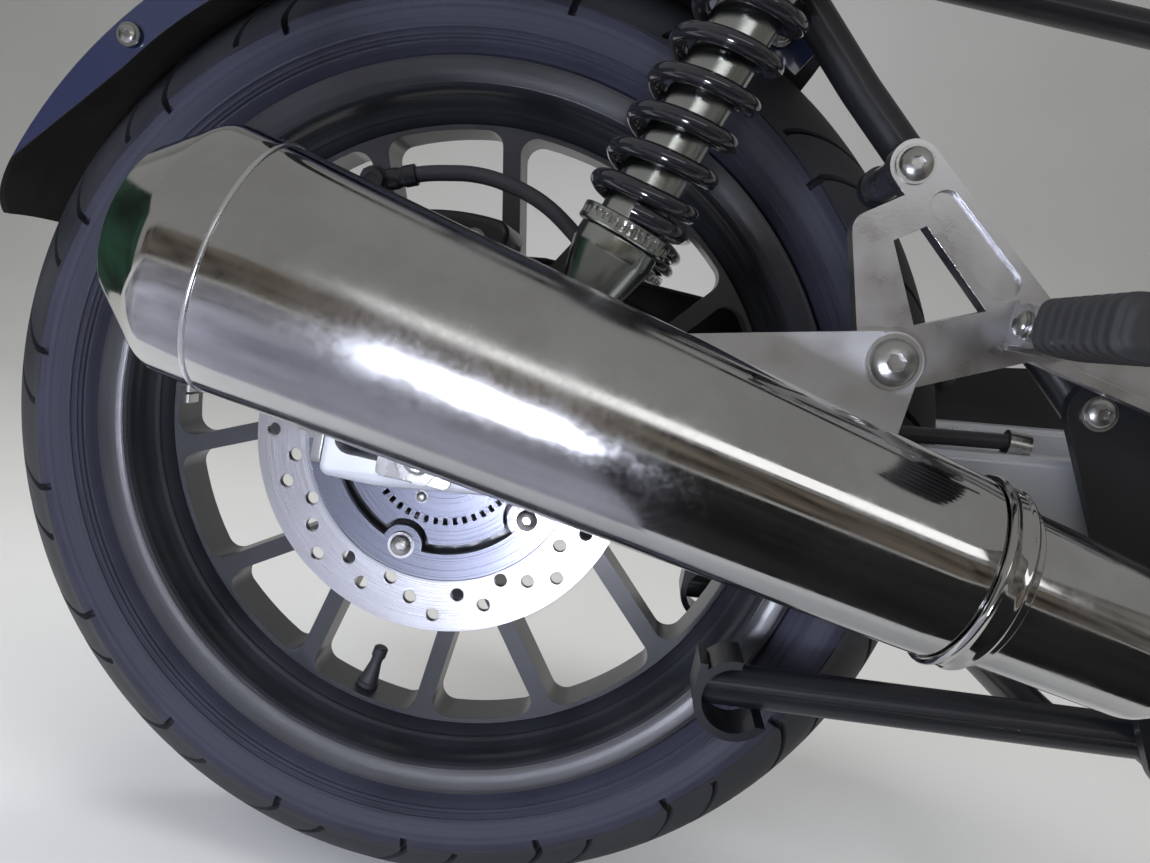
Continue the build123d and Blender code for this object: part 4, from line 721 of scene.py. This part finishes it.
# columns: parts, name, slot, node without its side, smallest angle of a sharp edge
shockPieces = (
    ([coil], "coil", "spring_black", "shock_spring", 60),
    ([shockTurned(damperOutline, k["damperSoft"]), toothedCollar(), eyeRing(0)], "damper", "shock_chrome",
     "shock_body", 40),
    ([shockTurned(topOutline, k["topSoft"]), eyeRing(k["length"])], "damper_top", "spring_black",
     "shock_top", 40),
)
for side in ("right", "left"):
    for parts, name, slot, node, sharp in shockPieces:
        onSide = [sided(part, side) for part in parts]
        newPiece(f"{name}_{side}", onSide, slot, "rear_frame", [f"{node}_{side}"], sharp)
print("shock absorbers made")


# screws, bolts and nuts: rings of points round each one's line, six-sided where a spanner or a key goes
fastener = {
    "around": 48, "washer": 0.0014, "core": 0.0001, "chamfer": 0.2, "crown": 0.86,
    "hex": ((0, 0.45), (-0.0006, 0.4)),
    "nut": ((0, 0.58), (0.0022, 0.56), (0.003, 0.48)),
    "socket": 0.42, "socketDepth": 0.6, "domeTop": 0.25, "domeTurns": (0, 18, 36, 54, 72),
}


def fastenerHead(kind, centre, direction, size, height, rim):
    # rows of (height, radius, six-sided or not)
    # a six-sided row's radius is its corner's radius * cos 30 / cos(angle from the middle of the flat)
    f = fastener
    low = f["washer"]
    top = low + height
    rows = [(0, rim, 0), (low, rim, 0)]
    if kind == "dome":
        lift, key = np.radians(f["domeTurns"]), size * f["socket"]
        shares = f["domeTop"] + (1 - f["domeTop"]) * np.cos(lift)
        rows += [(low + height * np.sin(q), size * share, 0) for q, share in zip(lift, shares)]
        floor = top - f["socketDepth"] * height
        rows += [(top, key, 1), (floor, key, 1), (floor, f["core"], 0)]
    else:
        rows += [(low, size, 1), (top - f["chamfer"] * height, size, 1), (top, size * f["crown"], 0)]
        rows += [(top + rise, size * share, 0) for rise, share in f[kind]]
        rows += [(top + f[kind][-1][0], f["core"], 0)]
    rows = np.array(rows)
    a = fullTurn(f["around"])
    flat = np.cos(np.pi / 6) / np.cos((a + np.pi / 6) % (np.pi / 3) - np.pi / 6)
    radius = rows[None, :, 1] * np.where(rows[None, :, 2] > 0, flat[:, None], 1)
    points = aroundLine(centre, direction, a, rows[None, :, 0], radius, (0.2, 0.3, 0.9))
    return points, gridFaces(len(a), len(rows), True, False)


def aroundAxle(radius, angle, y):
    return (axle[0] + radius * np.cos(np.radians(angle)), y, axle[2] + radius * np.sin(np.radians(angle)))


rightward, leftward = (0, -1, 0), (0, 1, 0)
# columns: kind, ring's radius, first one's angle, y, direction, size, height, washer radius
wheelRings = (
    ("dome", 0.070, 258, -0.0801, rightward, 0.0068, 0.0036, 0.0085),
    ("dome", 0.037, 257, -0.0751, rightward, 0.0034, 0.002, 0.004),
    ("nut", 0.052, 54, 0.0806, leftward, 0.0092, 0.007, 0.0105),
)
wheelBolts = [(kind, aroundAxle(radius, first + 72 * n, y), *rest)
              for kind, radius, first, y, *rest in wheelRings for n in range(5)]
# columns: kind, place, direction, size, height, washer radius
caliperBolts = [
    ("hex", aroundAxle(0.096, 71, -0.1071), rightward, 0.0078, 0.006, 0.0092),
    ("hex", aroundAxle(0.096, 133, -0.1071), rightward, 0.0078, 0.006, 0.0092),
    ("dome", aroundAxle(0.126, 89, -0.1181), rightward, 0.0055, 0.0032, 0.0058),
    ("dome", aroundAxle(0.126, 115, -0.1181), rightward, 0.0055, 0.0032, 0.0058),
    ("dome", aroundAxle(0.116, 102, -0.1251), rightward, 0.0125, 0.0022, 0.0140),
    ("dome", (-0.242, -0.1176, -0.008), rightward, 0.0034, 0.002, 0.0036),
    ("dome", (-0.156, -0.1176, 0.003), rightward, 0.0034, 0.002, 0.0036),
]
sideBolts = [
    ("nut", (-0.411, -0.1611, 0.032), rightward, 0.0105, 0.0062, 0.0125),
    ("nut", (-0.3095, -0.1611, 0.3407), rightward, 0.0105, 0.0062, 0.0125),
    ("dome", (-0.252, -0.1861, 0.045), rightward, 0.0118, 0.0055, 0.0135),
    ("dome", (-0.263, -0.1801, 0.139), rightward, 0.0082, 0.004, 0.0095),
    ("hex", (-0.078, -0.1801, 0.052), rightward, 0.0098, 0.0065, 0.0118),
    ("hex", (0.030, -0.1391, -0.110), rightward, 0.0098, 0.0065, 0.0118),
    ("dome", (-0.130, -0.1391, 0.042), rightward, 0.0082, 0.004, 0.0095),
    ("dome", (-0.2016, -0.198, 0.074), (-1, 0, 0), 0.0058, 0.003, 0.0066),
    ("dome", (-0.1744, -0.198, 0.074), (1, 0, 0), 0.0058, 0.003, 0.0066),
    ("dome", (-0.716, -0.0861, 0.145), rightward, 0.0056, 0.0026, 0.0072),
    ("dome", (-0.333, -0.0861, 0.216), rightward, 0.0056, 0.0026, 0.0072),
]
standBolts = [("hex", (-0.035, -0.1411, -0.132), rightward, 0.0102, 0.0068, 0.0125)]
newPiece("wheel_bolts", [fastenerHead(*bolt) for bolt in wheelBolts], "zinc_steel", "wheel", sharp=30)

# the washer under the axle nut
axleWasher = {"y": -0.1332, "bore": 0.0088, "radius": 0.0168, "thick": 0.0022, "soft": 0.0005}
b = axleWasher
section = softened(ringSection(0, b["thick"], b["bore"], b["radius"]), b["soft"])
washer = turned((axle[0], b["y"], axle[2]), rightward, section, 64)
newPiece("axle_washer", [washer], "zinc_steel", "rear_frame", sharp=40)

heads = [fastenerHead(*bolt) for bolt in caliperBolts]
newPiece("caliper_bolts", heads, "zinc_steel", "rear_frame", sharp=30)
for name, table, body in (("frame_bolts", sideBolts, "rear_frame"), ("stand_bolts", standBolts, "stand")):
    heads = [fastenerHead(*bolt) for bolt in table]
    newPiece(name, heads + [mirrored(head) for head in heads], "zinc_steel", body, sharp=30)
print("bolts made")

# rim lips: a coved profile from the flange's edge down to the barrel and back, turned about the axle
# columns: distance from the wheel's middle, radius
rimLip = np.array([
    [0.0515, 0.2422], [0.0541, 0.2419], [0.0544, 0.2400], [0.0541, 0.2376], [0.0536, 0.2345],
    [0.0527, 0.2311], [0.0513, 0.2278], [0.0494, 0.2253], [0.0466, 0.2234], [0.0430, 0.2224],
    [0.0380, 0.2217], [0.0330, 0.2197], [0.0285, 0.2166], [0.0264, 0.2143], [0.0250, 0.2138],
    [0.0246, 0.2148], [0.0290, 0.2190], [0.0375, 0.2225], [0.0478, 0.2252], [0.0512, 0.2300],
])
lip = turned(axle, rightward, softened(rimLip, 0.0008, 3), 200)
newPiece("rim_lips", [lip, (lip[0] * (1, -1, 1), lip[1])], "satin_black_cast", "wheel", sharp=70)

# balance weights on the rim's inner face: a rounded strip's section carried round the axle, its ends drawn in
balance = {
    "at": 181.0, "pieces": 3, "step": 2.3, "span": 2.0, "outer": 0.2068, "thick": 0.0036, "halfWidth": 0.0075,
    "soft": 0.0009, "drawn": 0.4,
}


def balanceWeight(middle):
    b = balance
    half, inner = b["halfWidth"], b["outer"] - b["thick"]
    section = softened([[-half, b["outer"]], [half, b["outer"]], [half, inner], [-half, inner]], b["soft"])
    # places along the span, and the section's size at each
    along = np.array([-0.5, -0.5, -0.42, 0.42, 0.5, 0.5]) * b["span"]
    size = np.array([0.02, 0.7, 1, 1, 0.7, 0.02])
    centre = section.mean(0)
    a = np.radians(middle + along)[:, None]
    place = centre + (section - centre)[None] * size[:, None, None]
    radius = place[..., 1] + (1 - size[:, None]) * b["drawn"] * b["thick"]
    points = np.stack([axle[0] + radius * np.cos(a), place[..., 0], axle[2] + radius * np.sin(a)], -1)
    return points, gridFaces(len(along), len(section), False, True)


weights = [balanceWeight(balance["at"] + n * balance["step"]) for n in range(balance["pieces"])]
newPiece("balance_weights", weights, "zinc_steel", "wheel", sharp=40)

# brake line ends: a crimped sleeve, its eye with a bolt through it, and a bleed nipple
lineEnd = {
    "start": (-0.532, -0.112, 0.090), "next": (-0.514, -0.112, 0.097), "bore": 0.0046, "sleeve": 0.0062,
    "crimp": 0.0007, "sleeveSoft": 0.0005, "back": 0.010, "eyeBore": 0.0035, "eye": 0.0088, "eyeHalf": 0.0045,
    "eyeSoft": 0.0008, "boltAt": 0.0046, "bolt": (0.0076, 0.0052, 0.0084),
    "nippleAt": (0.139, 112, -0.098), "nippleSoft": 0.0004,
}
# columns: distance along, radius
nippleOutline = (
    (-0.002, 0.0001), (-0.002, 0.0045), (0.005, 0.0045), (0.006, 0.0028), (0.009, 0.0028), (0.010, 0.0036),
    (0.013, 0.0026), (0.013, 0.0001),
)
e = lineEnd
along = np.array(e["next"]) - np.array(e["start"])
along /= np.linalg.norm(along)
crimped = e["sleeve"] - e["crimp"]
sleeve = softened([
    [-0.004, e["bore"]], [-0.004, e["sleeve"]], [0.003, e["sleeve"]], [0.004, crimped], [0.006, crimped],
    [0.007, e["sleeve"]], [0.014, e["sleeve"]], [0.014, e["bore"]],
], e["sleeveSoft"])
eyeCentre = np.array(e["start"]) - e["back"] * along
eye = softened(ringSection(-e["eyeHalf"], e["eyeHalf"], e["eyeBore"], e["eye"]), e["eyeSoft"])
nippleTurn = e["nippleAt"][1]
outward = np.array(aroundAxle(1, nippleTurn, 0)) - axle
newPiece("line_ends", [
    turned(e["start"], along, sleeve, 40),
    turned(eyeCentre, leftward, eye, 40),
    fastenerHead("hex", eyeCentre - np.array([0, e["boltAt"], 0]), rightward, *e["bolt"]),
    turned(aroundAxle(*e["nippleAt"]), outward, softened(nippleOutline, e["nippleSoft"]), 32, closed=False),
], "black_paint", "rear_frame", sharp=35)

# peg rubbers: a rounded bar's section carried along Y, its size lifted by each rib
pegCover = {
    "x": -0.188, "z": 0.074, "start": -0.2155, "end": -0.2905, "width": 0.030, "height": 0.022, "square": 4.5,
    "ribs": 8, "base": 0.0004, "lift": 0.0016, "endShare": 0.03, "around": 64, "rows": 161,
    "waveGain": 1.6, "waveShift": 0.4, "endSize": 0.86,
}


def pegSleeve():
    c = pegCover
    a = fullTurn(c["around"])
    # distance to a rounded rectangle in each direction: a power curve between circle and box
    shape = (np.abs(np.cos(a) / (c["width"] / 2)) ** c["square"]
             + np.abs(np.sin(a) / (c["height"] / 2)) ** c["square"]) ** (-1 / c["square"])
    share = np.linspace(0, 1, c["rows"])
    wave = c["waveGain"] * np.cos(share * c["ribs"] * 2 * np.pi + np.pi) + c["waveShift"]
    wave = np.clip(wave, -1, 1)
    ends = np.clip(np.minimum(share, 1 - share) / c["endShare"], 0, 1) ** 0.5
    lift = c["base"] + c["lift"] * 0.5 * (1 + wave) * ends
    y = c["start"] + share * (c["end"] - c["start"])
    radius = shape[None] * (c["endSize"] + (1 - c["endSize"]) * ends[:, None]) + lift[:, None]
    x, z = c["x"] + radius * np.cos(a), c["z"] + radius * np.sin(a)
    points = np.stack(np.broadcast_arrays(x, y[:, None], z), -1)
    first, last = [np.tile((c["x"], end, c["z"]), (1, c["around"], 1)) for end in (y[0], y[-1])]
    points = np.concatenate([first, points, last])
    return points, gridFaces(len(points), c["around"], False, True)


newPiece("peg_cover_right", [pegSleeve()], "peg_rubber", "peg_right", sharp=50)
newPiece("peg_cover_left", [mirrored(pegSleeve())], "peg_rubber", "peg_left", sharp=50)

# weld beads: a thin ring round each tube, its thickness rippled
welds = {"ripples": 46, "steps": 6, "sides": 10, "size": 0.0034, "low": 0.82, "swing": 0.18}
# columns: middle, direction, radius
weldPlaces = (
    ((0, -0.0995, 0), leftward, 0.0255),
    ((-0.112, -0.0995, -0.014), leftward, 0.0245),
    ((0.030, -0.1305, -0.110), leftward, 0.0145),
)


def weldBead(middle, direction, radius):
    # thickness over the angle: low + swing * the sine's size, one arch a ripple
    around, section = fullTurn(welds["ripples"] * welds["steps"]), fullTurn(welds["sides"])
    size = welds["size"] * (welds["low"] + welds["swing"] * np.abs(np.sin(around * welds["ripples"] / 2)))
    out = radius + size[:, None] * np.cos(section)[None]
    rise = size[:, None] * np.sin(section)[None]
    points = aroundLine(middle, direction, around, rise, out)
    return points, gridFaces(len(around), welds["sides"], True, True)


beads = [weldBead(*place) for place in weldPlaces]
newPiece("weld_beads", beads + [mirrored(bead) for bead in beads], "silver_paint", "rear_frame", sharp=60)
print("line ends, peg covers and welds made")

# the solids' own forms; columns: node, width of its rounded edges in metres
softEdges = (
    ("cast_wheel", 0.0016), ("brake_disc", 0.0004), ("speed_ring", 0.0003), ("brake_caliper", 0.001),
    ("caliper_bracket", 0.0008), ("sprocket_carrier", 0.001), ("rear_sprocket", 0.0004), ("axle_nut", 0.0007),
    ("wheel_axle", 0.0006), ("adjuster_bolts", 0.0006), ("hose_clips", 0.0006), ("valve_stem", 0.0005),
    ("chain_guard", 0.0005), ("guard_bracket", 0.0006), ("mudguard", 0.0006), ("centre_stand", 0.0008),
    ("pivot_shaft", 0.0007),
)
pairedEdges = (
    ("swingarm_arm", 0.0008), ("frame_plate", 0.001), ("step_holder", 0.0012), ("silencer_bracket", 0.0008),
    ("chain_adjuster", 0.0006), ("seat_rail", 0.0008), ("frame_stay", 0.0008),
)
hangerSteel = brightMetal("hangerSteel", (0.74, 0.75, 0.78), 0.42, 0.1, mottle=0.08)
for node, width in softEdges:
    softCopy(node, width)
for node, width in pairedEdges:
    for side in ("right", "left"):
        soft = softCopy(f"{node}_{side}", width)
        if node == "silencer_bracket":
            soft.data.materials[0] = hangerSteel
print("edges rounded")

# the stage: a floor of paper that curves up behind, on the tyre's lowest point
floorZ = axle[2] - tyre["radius"]
sweep = {"front": -4.0, "bend": 1.6, "curve": 1.2, "top": 4.5, "side": 5}


def backdropMaterial():
    level = ("Specular IOR Level", 0.1)
    mat, tree, shader = newMaterial("studioPaper", (0.63, 0.63, 0.62), 0, 0.9, level)
    cloud = noise(tree, objectCoords(tree), 1.2, 3)
    colour = ramp(tree, cloud, [(0.3, (0.60, 0.60, 0.59)), (0.7, (0.66, 0.66, 0.65))])
    tree.links.new(colour, shader.inputs["Base Color"])
    return mat


def paperSweep():
    # one profile of (y, z) carried along X: a flat floor, a quarter circle and a wall
    q, bend, curve = np.linspace(0, np.pi / 2, 16), sweep["bend"], sweep["curve"]
    arc = np.stack([bend + curve * np.sin(q), curve - curve * np.cos(q)], 1)
    profile = np.concatenate([[[sweep["front"], 0.0], [bend, 0.0]], arc, [[bend + curve, sweep["top"]]]])
    x = np.linspace(-sweep["side"], sweep["side"], 3)
    points = np.stack(np.broadcast_arrays(x[:, None], profile[None, :, 0], profile[None, :, 1] + floorZ), -1)
    return points, gridFaces(len(x), len(profile))


points, faces = paperSweep()
mesh = bpy.data.meshes.new("paper")
mesh.from_pydata(points.reshape(-1, 3), [], faces)
mesh.shade_smooth()
mesh.materials.append(backdropMaterial())
paper = bpy.data.objects.new("paper", mesh)
scene.collection.objects.link(paper)

# panels round the object, seen only in the chrome and the paint
# columns: low corner, high corner, dark colour, light colour
panels = {
    "front": ((-3.2, -2.6, -0.37), (3.2, -2.6, 0.62), (0.05, 0.042, 0.035), (0.34, 0.29, 0.24)),
    "right": ((1.9, -2.4, -0.36), (2.5, 1.4, 1.3), (0.08, 0.075, 0.07), (0.40, 0.38, 0.35)),
    # the mat panel is a pool of bluish flash light painted on the floor, and the floor panel is a near-black
    # sheet beside it; both are seen only in reflections
    "mat": ((-1.7, -2.0, -0.377), (-0.36, -0.22, -0.377), (0.17, 0.17, 0.20), (0.40, 0.40, 0.45)),
    "floor": ((-0.36, -2.0, -0.377), (1.5, -0.25, -0.377), (0.008, 0.008, 0.009), (0.022, 0.021, 0.021)),
    "rear": ((-1.85, -0.75, -0.30), (-1.75, 0.9, 0.50), (0.008, 0.016, 0.012), (0.030, 0.090, 0.055)),
}
for name, (low, high, dark, light) in panels.items():
    mat, tree, shader = newMaterial(f"{name}Reflected", dark, 0, 0.9)
    reflectedColour = ramp(tree, noise(tree, objectCoords(tree), 2.6, 5, 0.6), [(0.36, dark), (0.66, light)])
    tree.links.new(reflectedColour, shader.inputs["Base Color"])
    # a panel that lies flat has its other corners beside these two, and an upright one below and above
    flat = high[2] == low[2]
    second = (high[0], low[1] if flat else high[1], low[2])
    fourth = (low[0], high[1] if flat else low[1], high[2])
    mesh = bpy.data.meshes.new(f"panel_{name}")
    mesh.from_pydata([low, second, high, fourth], [], [(0, 1, 2, 3)])
    mesh.materials.append(mat)
    panel = bpy.data.objects.new(f"panel_{name}", mesh)
    panel.visible_camera = panel.visible_diffuse = panel.visible_shadow = False
    scene.collection.objects.link(panel)

# the wide lamps light the object; only the small and the weak ones are mirrored in the chrome
flash = (0.80, 0.84, 1.0)
lamps = {
    "key": {"place": (-1.05, -1.15, -0.02), "aim": (-0.55, 0.0, -0.08), "size": (0.45, 0.45), "power": 4.6,
            "mirrored": False, "spread": 75, "tint": flash},
    "spark": {"place": (-0.43, -0.72, -0.19), "aim": (-0.45, 0.0, -0.08), "size": (0.09, 0.09), "power": 0.85,
              "mirrored": True, "spread": 100, "tint": flash},
    "sky": {"place": (-0.5, -0.7, 2.3), "aim": (-0.35, 0.0, 0.0), "size": (2.6, 0.9), "power": 34,
            "mirrored": False},
    "strip": {"place": (0.6, -2.45, 0.95), "aim": (-0.1, 0.0, 0.1), "size": (2.4, 0.42), "power": 4.2,
              "mirrored": True},
    "side": {"place": (-2.2, -0.9, 0.9), "aim": (-0.5, 0.0, 0.0), "size": (0.9, 1.3), "power": 13,
             "mirrored": False},
    "back": {"place": (-0.2, 1.5, 1.8), "aim": (-0.35, 0.0, 0.0), "size": (1.6, 0.8), "power": 24,
             "mirrored": False},
}
for name, lamp in lamps.items():
    data = bpy.data.lights.new(name, "AREA")
    data.shape = "RECTANGLE"
    data.size, data.size_y = lamp["size"]
    data.energy = lamp["power"]
    data.color = lamp.get("tint", (1, 1, 1))
    data.spread = np.radians(lamp.get("spread", 180))
    light = bpy.data.objects.new(name, data)
    light.location = lamp["place"]
    aim = Vector(lamp["aim"]) - Vector(lamp["place"])
    light.rotation_euler = aim.to_track_quat("-Z", "Y").to_euler()
    light.visible_glossy = lamp["mirrored"]
    scene.collection.objects.link(light)

world = bpy.data.worlds.new("studio")
scene.world = world
world.use_nodes = True
world.node_tree.nodes["Background"].inputs["Color"].default_value = (0.76, 0.755, 0.74, 1)
world.node_tree.nodes["Background"].inputs["Strength"].default_value = 0.34

# seen from low on the right, with the camera tipped 12 degrees about its own axis
# angles in radians; the focal length in pixels of a picture of this width
view = {
    "place": (-0.36924, -0.64168, 0.03456), "yaw": 0.0574096, "pitch": -0.1211658, "roll": 0.2094395,
    "focal": 919.369, "width": 1150, "sensor": 36,
}
yaw, pitch, roll = view["yaw"], view["pitch"], view["roll"]
forward = np.array([-np.sin(yaw) * np.cos(pitch), np.cos(yaw) * np.cos(pitch), np.sin(pitch)])
level = np.array([np.cos(yaw), np.sin(yaw), 0])
upright = np.cross(level, forward)
across = np.cos(roll) * level + np.sin(roll) * upright
upward = -np.sin(roll) * level + np.cos(roll) * upright
camera = bpy.data.objects.new("camera", bpy.data.cameras.new("camera"))
camera.data.sensor_fit = "HORIZONTAL"
camera.data.sensor_width = view["sensor"]
camera.data.lens = view["focal"] / view["width"] * view["sensor"]
camera.data.clip_start = 0.02
camera.matrix_world = Matrix((
    (across[0], upward[0], -forward[0], view["place"][0]),
    (across[1], upward[1], -forward[1], view["place"][1]),
    (across[2], upward[2], -forward[2], view["place"][2]),
    (0, 0, 0, 1),
))
scene.collection.objects.link(camera)
scene.camera = camera
scene.view_settings.view_transform = "Standard"
print("stage set")
